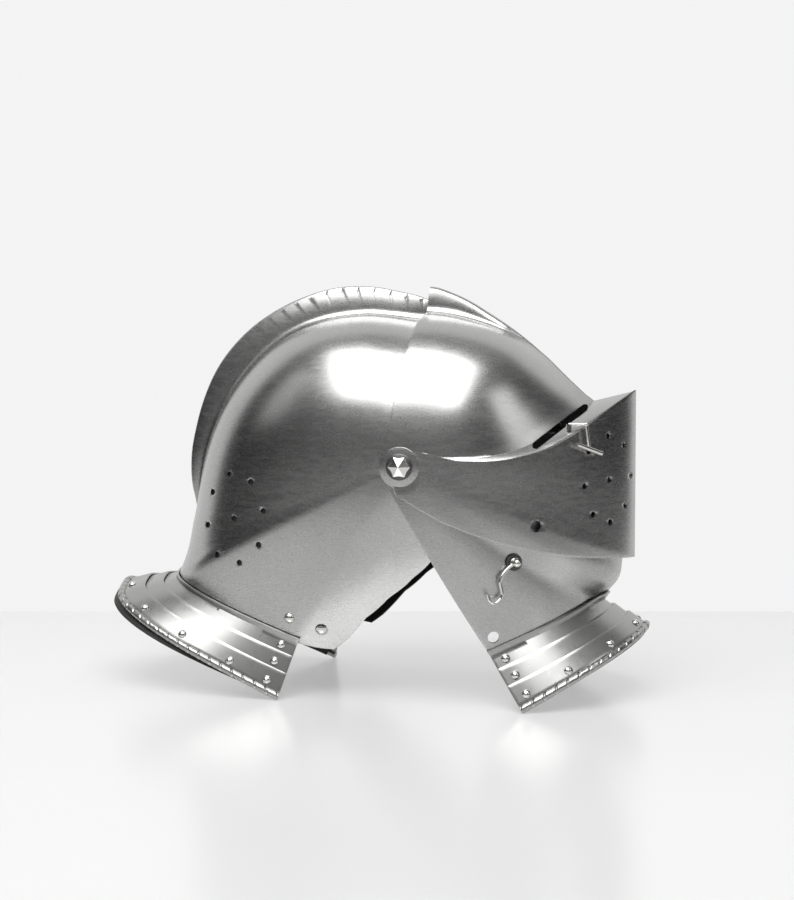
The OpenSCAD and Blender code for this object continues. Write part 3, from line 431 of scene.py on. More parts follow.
    def pad(self, off: float) -> list[list[Vector]]:
        """Rows of the skull's lining at a depth within the skull's outer face."""
        s = self.sizes
        w = s.wide(Level.SKULL) - off
        rows = []
        for a in spread((36, 199, 2.6)):
            rows.append(self.placed(a, self.plain(w, SKULL_LINE(a) - off, self.form.soft(Level.SKULL, a), 24.0)))
        for a in spread((206.5, 247, 1.6)):
            edge = self.form.nape_rho(a) if a < NAPE_END else CHEEK_EDGE.straight(a)
            r = SKULL_LINE(a) - off
            rows.append(self.placed(a, self.cut(w, r, self.form.soft(Level.SKULL, a),
                                                min(0.995 * r, edge - 9), 24.0)))
        return rows


def spread(*parts: tuple[float, float, float]) -> list[float]:
    """Values over several spans, each given as (from, to, step)."""
    values: list[float] = []
    for start, end, step in parts:
        n = max(1, round((end - start) / step))
        values += [start + (end - start) * k / n for k in range(n + 1)]
    return [v for i, v in enumerate(values) if i == 0 or v > values[i - 1] + 1e-6]


class Cone:
    """The lames of one collar: t runs from 0 in the middle to 1 at the free end."""

    stations = 12

    def __init__(self, collar: Collar, form: Form) -> None:
        self.collar = collar
        self.form = form
        self.sizes = form.sizes
        self.rim_off = self.off(2) + self.sizes.plate / 2
        nape = collar is Collar.NAPE
        tilt = 19.5 if nape else 23.3
        self.along = Vector((cosd(tilt), 0, -sind(tilt))) if nape else Vector((-cosd(tilt), 0, -sind(tilt)))
        self.down = Vector((-sind(tilt), 0, -cosd(tilt))) if nape else Vector((sind(tilt), 0, -cosd(tilt)))

    def off(self, k: int) -> float:
        """Height of lame k's inner face over the neck."""
        return self.sizes.play + k * self.sizes.pitch

    def ring(self, t: float, h: float = 0.0) -> Vector:
        """Point of the neck line, or h above it."""
        f, s = self.form, self.sizes
        if self.collar is Collar.NAPE:
            a = mix(NAPE_ANGLE - 0.19 * h, NAPE_END, t * t)
            rho = f.nape_rho(a, h)
            y = f.half_at(s.wide(Level.SKULL), SKULL_LINE(a), f.soft(Level.SKULL, a), rho)
        else:
            a = mix(CHIN_ANGLE + 0.645 * h, CHIN_END, t * t)
            rho = f.chin_rho(a, h)
            y = f.half_at(s.wide(Level.BEVOR), BEVOR_LINE(a), SHARPNESS(a), rho)
            a = f.bevor_angle(a, rho)
        return polar(a, rho, 0.0 if t == 0 else -y)

    def _outward(self, t: float) -> Vector:
        p = self.ring(t)
        s = (p - self.ring(0)).dot(self.along)
        return (self.along * ((s - 98) / 98 ** 2) + Vector((0, p.y / 72 ** 2, 0))).normalized()

    def span(self, t: float) -> tuple[float, float]:
        """How far the collar spreads and drops, to the innermost face."""
        k = cosd(90 * t) ** 2
        flare = (mix(17, 40, k), mix(21, 38.4, t)) if self.collar is Collar.NAPE \
            else (mix(17, 24, k), mix(29, 38.4, t))
        size = math.hypot(*flare)
        turn = math.degrees(math.atan2(flare[0], flare[1]) - math.asin(self.rim_off / size))
        length = math.sqrt(size ** 2 - self.rim_off ** 2)
        return length * sind(turn), length * cosd(turn)

    def at(self, t: float, v: float, off: float) -> Vector:
        """Point of a collar.

        Args:
            t: Place along the collar, negative for the wearer's left.
            v: Place across it, 0 at the neck line, 1 at the rim, -1 at the top of the lap.
            off: Height over the innermost face.

        Returns:
            The point, from the pivot.
        """
        i = min(self.stations - 1, max(-self.stations, math.floor(t * self.stations)))
        u = t * self.stations - i
        a, b, c, d = (self._station(i + k, v, off) for k in (-1, 0, 1, 2))
        return 0.5 * (2 * b + (c - a) * u + (2 * a - 5 * b + 4 * c - d) * u * u
                      + (3 * b - a - 3 * c + d) * u ** 3)

    def _station(self, k: int, v: float, off: float) -> Vector:
        """Point at one of the CAD's own places along the collar, counted from the middle."""
        if abs(k) > self.stations:
            step = -1 if k > 0 else 1
            return 2 * self._station(k + step, v, off) - self._station(k + 2 * step, v, off)
        if k < 0:
            p = self._station(-k, v, off)
            return Vector((p.x, -p.y, p.z))
        t = k / self.stations
        out, p, e = self._outward(t), self.ring(t), self.span(t)
        wall = (p - self.ring(t, self.sizes.lap)).normalized()
        run = (out * e[0] + self.down * e[1]).normalized()
        nw = (out - out.dot(wall) * wall).normalized()
        nr = (out - out.dot(run) * run).normalized()
        if v < 0:
            return self.ring(t, -v * self.sizes.lap) + nw * off
        if v == 0:
            return p + (nw + nr) * (off / (1 + nw.dot(nr)))
        shift = Vector((7 * t * t * v, 0, 0)) if self.collar is Collar.CHIN else Vector()
        return p + run * (math.hypot(*e) * v) + nr * off + shift

    def normal(self, t: float, v: float) -> Vector:
        """Direction out of a lame."""
        return (self.at(t, v, 1) - self.at(t, v, 0)).normalized()

    def run(self, t: float) -> Vector:
        """Direction down a lame."""
        return (self.at(t, 1, 0) - self.at(t, 0.9, 0)).normalized()


class Shop:
    def __init__(self, pivot: Vector) -> None:
        self.pivot = pivot
        self.made: list[bpy.types.Object] = []

    def world(self, p: Vector) -> Vector:
        """A point from the pivot in millimetres, as a place in metres."""
        return p * MM + self.pivot

    def grid(self, rows: Sequence[Sequence[Vector]]) -> bmesh.types.BMesh:
        """Sheet of quads whose points are the given rows."""
        ny, nx = len(rows), len(rows[0])
        bm = bmesh.new()
        bmesh.ops.create_grid(bm, x_segments=nx - 1, y_segments=ny - 1, size=0.5)
        for v in bm.verts:
            i = round((v.co.y + 0.5) * (ny - 1))
            j = round((v.co.x + 0.5) * (nx - 1))
            v.co = self.world(rows[i][j])
        return bm

    def mirrored(self, bm: bmesh.types.BMesh) -> None:
        """Adds the wearer's left half and turns all faces outwards."""
        geom = bm.verts[:] + bm.edges[:] + bm.faces[:]
        bmesh.ops.mirror(bm, geom=geom, axis="Y", merge_dist=2e-5)
        bmesh.ops.recalc_face_normals(bm, faces=bm.faces[:])
        far = max(bm.faces, key=lambda f: abs(f.calc_center_median().y))
        if far.normal.y * far.calc_center_median().y < 0:
            bmesh.ops.reverse_faces(bm, faces=bm.faces[:])

    def lathe(self, profile: Sequence[tuple[float, float]], place: Matrix, steps: int = 48) -> bmesh.types.BMesh:
        """Solid of revolution about local +Z.

        Args:
            profile: Points (radius, height) in millimetres, both ends on the axis.
            place: Where local millimetres go, from the pivot.
            steps: Number of steps round the axis.

        Returns:
            The closed mesh in the row frame.
        """
        bm = bmesh.new()
        verts = [bm.verts.new((r, 0, z)) for r, z in profile]
        edges = [bm.edges.new(pair) for pair in zip(verts, verts[1:])]
        bmesh.ops.spin(bm, geom=verts + edges, cent=(0, 0, 0), axis=(0, 0, 1), angle=math.tau,
                       steps=steps, use_merge=True)
        bmesh.ops.remove_doubles(bm, verts=bm.verts[:], dist=1e-4)
        bmesh.ops.recalc_face_normals(bm, faces=bm.faces[:])
        for v in bm.verts:
            v.co = self.world(place @ v.co)
        return bm

    def rod(self, path: Sequence[Vector], radius: Callable[[float], float], sides: int = 16) -> bmesh.types.BMesh:
        """Round tube along a path of points from the pivot, closed at both ends."""
        bm = bmesh.new()
        rings = []
        n = len(path)
        up = Vector((0.3, -0.9, 0.2)).normalized()
        for i, p in enumerate(path):
            way = (path[min(n - 1, i + 1)] - path[max(0, i - 1)]).normalized()
            side = way.cross(up).normalized()
            top = side.cross(way)
            ring = bmesh.ops.create_circle(bm, segments=sides, radius=radius(i / (n - 1)),
                                           cap_ends=i in (0, n - 1))["verts"]
            for v in ring:
                v.co = self.world(p + side * v.co.x + top * v.co.y)
            rings.append(sorted({e for v in ring for e in v.link_edges}, key=lambda e: e.index))
        for a, b in zip(rings, rings[1:]):
            bmesh.ops.bridge_loops(bm, edges=a + b)
        bmesh.ops.recalc_face_normals(bm, faces=bm.faces[:])
        return bm

    def finish(self, name: str, bm: bmesh.types.BMesh, material: bpy.types.Material, body: str, slot: str,
               nodes: Sequence[str], thick: float = 0.0, cutters: Sequence[bmesh.types.BMesh] = (),
               round_edge: float = 0.0, sharp: float = 40.0,
               inside: bpy.types.Material | None = None) -> bpy.types.Object:
        """Turns a mesh into a finished piece.

        Args:
            name: Name of the piece.
            bm: Its mesh, which is used up.
            material: Its finish.
            body: CAD body that it moves with.
            slot: The record's material slot; not used.
            nodes: CAD nodes that it stands for.
            thick: Thickness to give to a sheet, inwards.
            cutters: Closed meshes to take away.
            round_edge: Width of the rounding at sharp edges.
            sharp: Angle over which an edge stays sharp when shaded.
            inside: Finish of the inner face, where it isn't the outer one's, and of the plate's edges, where its
                black is painted shade along the seams between plates.

        Returns:
            The piece.
        """
        mesh = bpy.data.meshes.new(name)
        bm.to_mesh(mesh)
        bm.free()
        mesh.materials.append(material)
        if inside:
            mesh.materials.append(inside)
        piece = bpy.data.objects.new(name, mesh)
        bpy.context.scene.collection.objects.link(piece)
        extra = []
        if thick:
            mod = piece.modifiers.new("thickness", "SOLIDIFY")
            mod.thickness = thick * MM
            mod.offset = -1
            mod.use_even_offset = True
            mod.material_offset = 1 if inside else 0
            # The plate's edges take the black finish too: painted shade, dark lines along the seams between
            # plates.
            mod.material_offset_rim = 1 if inside else 0
        for i, cut in enumerate(cutters):
            cut_mesh = bpy.data.meshes.new(f"{name}_cut{i}")
            cut.to_mesh(cut_mesh)
            cut.free()
            tool = bpy.data.objects.new(f"{name}_cut{i}", cut_mesh)
            bpy.context.scene.collection.objects.link(tool)
            extra.append(tool)
            mod = piece.modifiers.new(f"cut{i}", "BOOLEAN")
            mod.operation = "DIFFERENCE"
            mod.solver = "EXACT"
            mod.object = tool
        if round_edge:
            mod = piece.modifiers.new("round", "BEVEL")
            mod.width = round_edge * MM
            mod.segments = 2
            mod.limit_method = "ANGLE"
            mod.angle_limit = math.radians(55)
        if piece.modifiers:
            dg = bpy.context.evaluated_depsgraph_get()
            baked = bpy.data.meshes.new_from_object(piece.evaluated_get(dg))
            piece.modifiers.clear()
            piece.data = baked
            bpy.data.meshes.remove(mesh)
            baked.name = name
        for tool in extra:
            bpy.data.objects.remove(tool)
        piece.data.shade_smooth()
        piece.data.set_sharp_from_angle(angle=math.radians(sharp))
        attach(piece, body)
        if nodes:
            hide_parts(*nodes)
        self.made.append(piece)
        return piece


def facing(p: Vector, n: Vector) -> Matrix:
    """Placement whose local +Z points along n."""
    return Matrix.Translation(p) @ n.to_track_quat("Z", "Y").to_matrix().to_4x4()


def drill(shop: Shop, p: Vector, n: Vector, r: float, deep: float = 10.0) -> bmesh.types.BMesh:
    """Cylinder across a plate, as a cutter."""
    bm = bmesh.new()
    bmesh.ops.create_cone(bm, cap_ends=True, segments=40, radius1=r, radius2=r, depth=deep)
    place = facing(p, n)
    for v in bm.verts:
        v.co = shop.world(place @ v.co)
    return bm


def joined(parts: Sequence[bmesh.types.BMesh]) -> bmesh.types.BMesh:
    """One mesh from several, which are used up."""
    whole = bmesh.new()
    for part in parts:
        mesh = bpy.data.meshes.new("part")
        part.to_mesh(mesh)
        part.free()
        whole.from_mesh(mesh)
        bpy.data.meshes.remove(mesh)
    return whole


@dataclass(frozen=True)
class Finish:
    """A procedural finish."""

    name: str
    colour: tuple[float, float, float]
    metallic: float
    roughness: tuple[float, float]
    cloud: float = 0.10
    grain: tuple[float, float, float] = (30, 30, 900)
    bump: float = 0.02

    def build(self) -> bpy.types.Material:
        """Makes the material with its nodes."""
        mat = bpy.data.materials.new(self.name)
        mat.use_nodes = True
        tree = mat.node_tree
        nodes, links = tree.nodes, tree.links
        shader = nodes["Principled BSDF"]
        shader.inputs["Metallic"].default_value = self.metallic
        coord = nodes.new("ShaderNodeTexCoord")

        def noise(scale: tuple[float, float, float], detail: float, size: float) -> bpy.types.NodeSocket:
            mapping = nodes.new("ShaderNodeMapping")
            mapping.inputs["Scale"].default_value = scale
            links.new(coord.outputs["Object"], mapping.inputs["Vector"])
            tex = nodes.new("ShaderNodeTexNoise")
            tex.inputs["Scale"].default_value = size
            tex.inputs["Detail"].default_value = detail
            links.new(mapping.outputs["Vector"], tex.inputs["Vector"])
            return tex.outputs["Fac"]

        def ranged(value: bpy.types.NodeSocket, low: float, high: float, a: float = 0.3,
                   b: float = 0.7) -> bpy.types.NodeSocket:
            node = nodes.new("ShaderNodeMapRange")
            node.inputs["From Min"].default_value = a
            node.inputs["From Max"].default_value = b
            node.inputs["To Min"].default_value = low
            node.inputs["To Max"].default_value = high
            links.new(value, node.inputs["Value"])
            return node.outputs["Result"]

        def maths(op: str, a: object, b: object) -> bpy.types.NodeSocket:
            node = nodes.new("ShaderNodeMath")
            node.operation = op
            for k, value in enumerate((a, b)):
                if isinstance(value, (int, float)):
                    node.inputs[k].default_value = value
                else:
                    links.new(value, node.inputs[k])
            return node.outputs[0]

        clouds = noise((1, 1, 1), 4, 22)
        fine = noise(self.grain, 2, 1)
        specks = noise((1, 1, 1), 3, 420)
        blend = nodes.new("ShaderNodeMix")
        blend.data_type = "RGBA"
        dark = tuple(c * (1 - self.cloud) for c in self.colour)
        light = tuple(min(1.0, c * (1 + self.cloud * 0.5)) for c in self.colour)
        blend.inputs["A"].default_value = (*dark, 1)
        blend.inputs["B"].default_value = (*light, 1)
        links.new(ranged(clouds, 0, 1), blend.inputs["Factor"])
        colour = blend.outputs["Result"]
        rough = maths("ADD", ranged(fine, self.roughness[0], self.roughness[1]), ranged(specks, -0.005, 0.01))
        height = maths("ADD", fine, maths("MULTIPLY", specks, 0.4))
        bump = nodes.new("ShaderNodeBump")
        bump.inputs["Distance"].default_value = 0.0002
        bump.inputs["Strength"].default_value = self.bump
        links.new(height, bump.inputs["Height"])
        normal = bump.outputs["Normal"]
        links.new(colour, shader.inputs["Base Color"])
        links.new(rough, shader.inputs["Roughness"])
        links.new(normal, shader.inputs["Normal"])
        return mat


STEEL = Finish("satin_steel", (0.47, 0.47, 0.465), 1.0, (0.25, 0.29), 0.05, (90, 90, 420), 0.004)
# The plates' steel again, its colour painted darker for the collar lames to dim the lamps' highlights there:
# painted shade.
COLLAR_STEEL_PAINTED_DIM = Finish("collar_steel_painted_dim", (0.42, 0.42, 0.41), 1.0, (0.27, 0.31), 0.05, (300, 300, 120), 0.004)
# Black paint of the plates' inner faces; on their edges the same black is painted shade along the seams.
INSIDE_AND_EDGE_SHADE = Finish("blackened_inside", (0.022, 0.021, 0.020), 0.0, (0.60, 0.75), 0.30, (200, 200, 200), 0.10)
BRIGHT = Finish("bright_steel", (0.74, 0.73, 0.70), 1.0, (0.12, 0.20), 0.08, (300, 300, 300), 0.02)
DARK = Finish("dark_iron", (0.13, 0.13, 0.13), 1.0, (0.32, 0.48), 0.30, (200, 200, 200), 0.10)
LEATHER = Finish("black_leather", (0.016, 0.015, 0.014), 0.0, (0.45, 0.62), 0.35, (700, 700, 700), 0.35)


class Skull:
    """The bowl with its comb, and what is fixed to it."""

    def __init__(self, shop: Shop, net: Net, mats: dict[str, bpy.types.Material]) -> None:
        self.shop, self.net, self.mats = shop, net, mats
        self.form = net.form

    def breaths(self) -> list[Vector]:
        """Places of the ring of breaths behind the ear and the one in its middle."""
        centre = polar(197.6, 138, 0)
        ring = [centre + Vector((26.4 * cosd(45 * k + 12), 0, 33 * sind(45 * k + 12))) for k in range(8)]
        return [centre, *ring]

    def build(self) -> None:
        """Makes the skull plate and its lining."""
        rows = self.net.skull()
        bm = self.shop.grid(rows)
        self.shop.mirrored(bm)
        f, shop = self.form, self.shop
        cuts = [drill(shop, Vector((c.x, 0, c.z)), Vector((0, -1, 0)), 2.3, 200) for c in self.breaths()]
        stud = f.point(Level.SKULL, 242.4, 137.5)
        cuts.append(drill(shop, stud, f.normal(Level.SKULL, 242.4, 137.5), 4.6))
        sides, tops = self._notches()
        shop.finish("skull_plate", bm, self.mats["steel"], "skull", "plate_steel", ["skull"], 1.5,
                    [joined(cuts), joined(sides), joined(tops)], 0.3, inside=self.mats["inside"])
        pad = shop.grid(self.net.pad(1.75))
        shop.mirrored(pad)
        middle = f.point(Level.SKULL, 237.4, 140.7)
        window = drill(shop, middle, f.normal(Level.SKULL, 237.4, 140.7), 22, 40)
        padding = shop.finish("skull_padding", pad, self.mats["leather"], "skull", "leather",
                              ["skull_lining"], 3.0, [window])
        for name, s in (("pivot_cap_right", RIGHT), ("pivot_cap_left", LEFT)):
            self._bolt(name, s)

    def _slab(self, a: float, size: tuple[float, float, float], y: float, sink: float) -> bmesh.types.BMesh:
        """Thin block across the crest of the comb, leaning to the rear as it goes in."""
        out = Vector((cosd(a), 0, sind(a)))
        back = Vector((-sind(a), 0, cosd(a)))
        lean = 32.0
        deep = out * -cosd(lean) + back * sind(lean)
        wide = out * sind(lean) + back * cosd(lean)
        start = out * COMB_LINE(a)
        bm = bmesh.new()
        bmesh.ops.create_cube(bm, size=1)
        for v in bm.verts:
            q = start + deep * (v.co.x * size[0] + sink) + wide * (v.co.z * size[2])
            q.y = y + v.co.y * size[1]
            v.co = self.shop.world(q)
        bmesh.ops.recalc_face_normals(bm, faces=bm.faces[:])
        return bm

    def _notches(self) -> tuple[list[bmesh.types.BMesh], list[bmesh.types.BMesh]]:
        """Filed notches of the comb: grooves on both sides and a nick in the crest."""
        sides, tops = [], []
        a, half = 90.5, self.net.sizes.comb_half_t
        while a < 181:
            for y in (-half - 1.35, half + 1.35):
                sides.append(self._slab(a, (9.2, 4.0, 1.15), y, 0.0))
            tops.append(self._slab(a, (4.0, 8.0, 1.0), 0.0, -0.75))
            a += math.degrees(11.8 / COMB_LINE(a))
        return sides, tops

    def _bolt(self, name: str, side: int) -> None:
        face = self.net.sizes.wide(Level.VENTAIL) + 0.12 + 0.08
        place = facing(Vector((0, side * face, 0)), Vector((0, side, 0)))
        washer = self.shop.lathe([(0, 0), (9.3, 0), (9.5, 0.2), (9.5, 0.8), (9.0, 1.2), (0, 1.2)], place, 64)
        self.shop.finish(f"{name}_washer", washer, self.mats["dark"], "skull", "dark_iron", [])
        star = bmesh.new()
        bmesh.ops.create_circle(star, segments=12, radius=1.0, cap_ends=True)
        for v in star.verts:
            a = math.degrees(math.atan2(v.co.y, v.co.x))
            r = 8.2 if round(a / 30) % 2 == 0 else 6.5
            v.co = Vector((r * cosd(a), r * sind(a), 1.2))
        for height, share in ((1.7, 1.0), (2.0, 0.96)):
            rim = [e for e in star.edges if e.is_boundary]
            rise = bmesh.ops.extrude_edge_only(star, edges=rim)["geom"]
            for v in (g for g in rise if isinstance(g, bmesh.types.BMVert)):
                v.co = Vector((v.co.x * share, v.co.y * share, height))
        top = bmesh.ops.contextual_create(star, geom=[e for e in star.edges if e.is_boundary])["faces"]
        bmesh.ops.poke(star, faces=top)["verts"][0].co = Vector((0, 0, 4.9))
        bmesh.ops.recalc_face_normals(star, faces=star.faces[:])
        for v in star.verts:
            v.co = self.shop.world(place @ v.co)
        shank = self.shop.lathe([(0, 1), (3, 1), (3, -16), (0, -16)], place, 32)
        self.shop.finish(name, joined([star, shank]), self.mats["bright"], "skull", "polished_steel",
                         ["pivot_bolt_right" if side == RIGHT else "pivot_bolt_left"], sharp=10)


class Face:
    """Visor, ventail and bevor."""

    ventail_breaths = ((8.3, 142.8), (5.1, 152.2), (-3.4, 156.4), (-4.6, 142.7), (-6.9, 127.0),
                       (-11.6, 155.8), (-15.3, 136.6), (-16.6, 149.2), (4.3, 128.9))

    def __init__(self, shop: Shop, net: Net, mats: dict[str, bpy.types.Material]) -> None:
        self.shop, self.net, self.mats = shop, net, mats
        self.form = net.form

    def _eye(self, level: Level, r: float) -> bmesh.types.BMesh:
        """Round ends of a plate on both sides."""
        w = self.net.sizes.wide(level) + 0.12
        parts = []
        for side in (RIGHT, LEFT):
            place = facing(Vector((0, side * w, 0)), Vector((0, side, 0)))
            parts.append(self.shop.lathe([(3.1, 0), (r - 0.5, 0), (r - 0.15, -0.15), (r, -0.5), (r, -1.4),
                                          (r - 0.4, -1.85), (3.1, -1.85), (3.1, 0)], place, 96))
        return joined(parts)

    def visor(self) -> None:
        """Makes the visor with its sight slots."""
        bm = self.shop.grid(self.net.visor())
        self.shop.mirrored(bm)
        slots = []
        start, end = Vector((92.9, 0, 15)), Vector((122.6, 0, 40.2))
        d = (end - start).normalized()
        across = Vector((-d.z, 0, d.x))
        for side in (RIGHT, LEFT):
            bmc = bmesh.new()
            bmesh.ops.create_cone(bmc, cap_ends=True, segments=32, radius1=2.8, radius2=2.8, depth=100)
            for v in bmc.verts:
                c = v.co.copy()
                base = end if c.x > 1e-6 else start
                q = base + d * c.x + across * c.y
                q.y = side * (57 + c.z)
                v.co = self.shop.world(q)
            bmesh.ops.recalc_face_normals(bmc, faces=bmc.faces[:])
            slots.append(bmc)
        self.shop.finish("visor_plate", bm, self.mats["steel"], "visor", "plate_steel", ["visor"], 1.5,
                         [joined(slots)], 0.3, inside=self.mats["inside"])
        self.shop.finish("visor_round_ends", self._eye(Level.VISOR, 12.5), self.mats["steel"], "visor",
                         "plate_steel", [])

    def ventail(self) -> None:
        """Makes the ventail with its breaths."""
        bm = self.shop.grid(self.net.ventail())
        self.shop.mirrored(bm)
        cuts = []
        for side in (RIGHT, LEFT):
            for a, rho in self.ventail_breaths:
                cuts.append(drill(self.shop, self.form.point(Level.VENTAIL, a, rho, 0, side),
                                  self.form.normal(Level.VENTAIL, a, rho, side), 2.3, 5))
            cuts.append(drill(self.shop, self.form.point(Level.VENTAIL, -24.1, 103.3, 0, side),
                              self.form.normal(Level.VENTAIL, -24.1, 103.3, side), 4.2, 6))
        self.shop.finish("ventail_plate", bm, self.mats["steel"], "ventail", "plate_steel", ["ventail"], 1.5,
                         [joined(cuts)], 0.4, inside=self.mats["inside"])
        self.shop.finish("ventail_round_ends", self._eye(Level.VENTAIL, 14.2), self.mats["steel"], "ventail",
                         "plate_steel", [])

    def bevor(self) -> None:
        """Makes the bevor with its lock hole."""
        bm = self.shop.grid(self.net.bevor())
        self.shop.mirrored(bm)
        f = self.form
        turn = Matrix.Rotation(math.radians(-55), 3, "Y")
        cuts = [drill(self.shop, turn @ f.point(Level.SKULL, 242.4, 137.5, 1.35),
                      turn @ f.normal(Level.SKULL, 242.4, 137.5), 4.2, 6)]
        for side in (RIGHT, LEFT):
            cuts.append(drill(self.shop, f.point(Level.VENTAIL, -24.1, 103.3, -4, side),
                              f.normal(Level.VENTAIL, -24.1, 103.3, side), 4.2, 6))
        self.shop.finish("bevor_plate", bm, self.mats["steel"], "bevor", "plate_steel", ["bevor"], 1.5,
                         [joined(cuts)], 0.4, inside=self.mats["inside"])
        self.shop.finish("bevor_round_ends", self._eye(Level.BEVOR, 16.0), self.mats["steel"], "bevor",
                         "plate_steel", [])

    def hook(self) -> None:
        """Makes the wire hook that hangs at the right cheek."""
        f = self.form
        p, n = f.point(Level.BEVOR, -41, 104), f.normal(Level.BEVOR, -41, 104)
        ex = (Vector((1, 0, 0)) - n.x * n).normalized()
        ey = n.cross(ex)
        loop = [(2.8 * cosd(-40 + 25.4 * k), 2.8 * sind(-40 + 25.4 * k)) for k in range(11)]
        bend = [(-4.5, -3), (-8.5, -7), (-11.3, -11.5), (-11.6, -15), (-10.4, -19.5), (-10, -23),
                (-11.5, -26), (-15.6, -28.4), (-19.6, -26.4), (-21.5, -21.5)]
        rough = [Vector((x, y, 0)) for x, y in loop + bend]
        path = []
        for i in range(len(rough) - 1):
            a, b = rough[max(0, i - 1)], rough[i]
            c, d = rough[i + 1], rough[min(len(rough) - 1, i + 2)]
            for k in range(4):
                t = k / 4
                path.append(0.5 * ((2 * b) + (c - a) * t + (2 * a - 5 * b + 4 * c - d) * t * t
                                   + (3 * b - a - 3 * c + d) * t ** 3))
        path.append(rough[-1])
        height = 0.25 + 1 + 1.25 + 0.15
        points = [p + ex * q.x + ey * q.y + n * height for q in path]
        bm = self.shop.rod(points, lambda t: 1.25 * (1 - 0.35 * max(0.0, t - 0.85) / 0.15), 18)
        self.shop.finish("hook_wire", bm, self.mats["bright"], "hook", "polished_steel", ["hook"])


class CollarWork:
    """The lames, roped rim and leathers of one collar."""

    splits = (0.36, 0.68)
    lap_share = 5 / 45
    strand = 9.6

    def __init__(self, shop: Shop, cone: Cone, body: str, mats: dict[str, bpy.types.Material]) -> None:
        self.shop, self.cone, self.body, self.mats = shop, cone, body, mats
        self.name = cone.collar.value

    def _sheet(self, places: Sequence[float], off: float, reach: float = 1.0) -> bmesh.types.BMesh:
        rows = [[self.cone.at(reach * t / 70, v, off) for t in range(70, -1, -1)] for v in places]
        bm = self.shop.grid(rows)
        self.shop.mirrored(bm)
        return bm

    def build(self) -> None:
        """Makes every part of the collar."""
        cone, s = self.cone, self.cone.sizes
        plate = s.plate
        spans = {"upper": (-1.0, self.splits[0]), "middle": (self.splits[0] - self.lap_share, self.splits[1]),
                 "lower": (self.splits[1] - self.lap_share, 1 - 2.4 / 42)}
        for k, (part, (start, end)) in enumerate(spans.items()):
            if k == 0:
                places = [-1, -0.5, 0.0] + [mix(0.09, end, i / 4) for i in range(5)]
            else:
                places = [mix(start, end, i / 6) for i in range(7)]
            bm = self._sheet(places, cone.off(k) + plate)
            # The lames take the steel painted darker than the plates', as painted shade that dims their
            # highlights.
            self.shop.finish(f"{self.name}_{part}_plate", bm, self.mats["collar"], self.body, "plate_steel",
                             [f"{self.name}_lame_{part}"], plate, (), 0.4)
        self.shop.finish(f"{self.name}_roped_rim", self._rope(), self.mats["collar"], self.body,
                         "plate_steel", [], sharp=60)
        self._leathers()

    def _rope(self) -> bmesh.types.BMesh:
        """Tube along the rim, cut with slanting grooves like a rope."""
        cone, r = self.cone, self.cone.sizes.rope_r
        steps, sides = 900, 24
        ts = [1 - 2 * i / steps for i in range(steps + 1)]
        centres = [cone.at(t, 1, cone.rim_off) for t in ts]
        rows, length = [], 0.0
        for i, t in enumerate(ts):
            if i:
                length += (centres[i] - centres[i - 1]).length
            n, run = cone.normal(t, 1), cone.run(t)
            row = []
            for k in range(sides + 1):
                a = 360 * k / sides
                turn = (length / self.strand + a / 360) % 1
                gap = min(turn, 1 - turn) * self.strand
                rr = r * (1 - 0.30 * math.exp(-(gap / 0.75) ** 2) - 0.05 * (gap / self.strand * 2) ** 2)
                row.append(centres[i] + n * (rr * cosd(a)) + run * (rr * sind(a)))
            rows.append(row)
        floor = -self.shop.pivot.z / MM + 0.05
        for row in rows:
            for p in row:
                p.z = max(p.z, floor)
        bm = self.shop.grid(rows)
        bmesh.ops.remove_doubles(bm, verts=bm.verts[:], dist=1e-6)
        bmesh.ops.holes_fill(bm, edges=[e for e in bm.edges if e.is_boundary], sides=sides + 2)
        bmesh.ops.recalc_face_normals(bm, faces=bm.faces[:])
        return bm

    def _leathers(self) -> None:
        """Lining at the rim and the straps at the ends."""
        cone, s = self.cone, self.cone.sizes
        off = cone.rim_off - s.rope_r - s.seat
        show = 5.0 if cone.collar is Collar.NAPE else 0.0
        rows = []
        floor = -self.shop.pivot.z / MM + 0.4
        for i in range(9):
            row = []
            for t in range(70, -1, -1):
                u = 0.97 * t / 70
                end = 1 + (s.rope_r - 2 + (show + 2) * cosd(90 * u)) / math.hypot(*cone.span(u))
                p = cone.at(u, mix(0.76, end, i / 8), off)
                p.z = max(p.z, floor)
                row.append(p)
            rows.append(row)
        bm = self.shop.grid(rows)
        self.shop.mirrored(bm)
        self.shop.finish(f"{self.name}_rim_leather", bm, self.mats["leather"], self.body, "leather",
                         [f"{self.name}_lining"], s.leather, (), 0.35)
        parts = []
        for side in (1, -1):
            rows = [[cone.at(side * mix(0.98, 0.9, j / 6), mix(0.07, 0.9, i / 14), s.play - s.seat)
                     for j in range(7)] for i in range(15)]
            parts.append(self.shop.grid(rows))
        whole = joined(parts)
        for f in whole.faces:
            f.normal_update()
        inward = [f for f in whole.faces if f.normal.y * f.calc_center_median().y < 0]
        bmesh.ops.reverse_faces(whole, faces=inward)
        self.shop.finish(f"{self.name}_end_leathers", whole, self.mats["leather"], self.body, "leather",
                         [f"{self.name}_straps"], s.leather, (), 0.3)


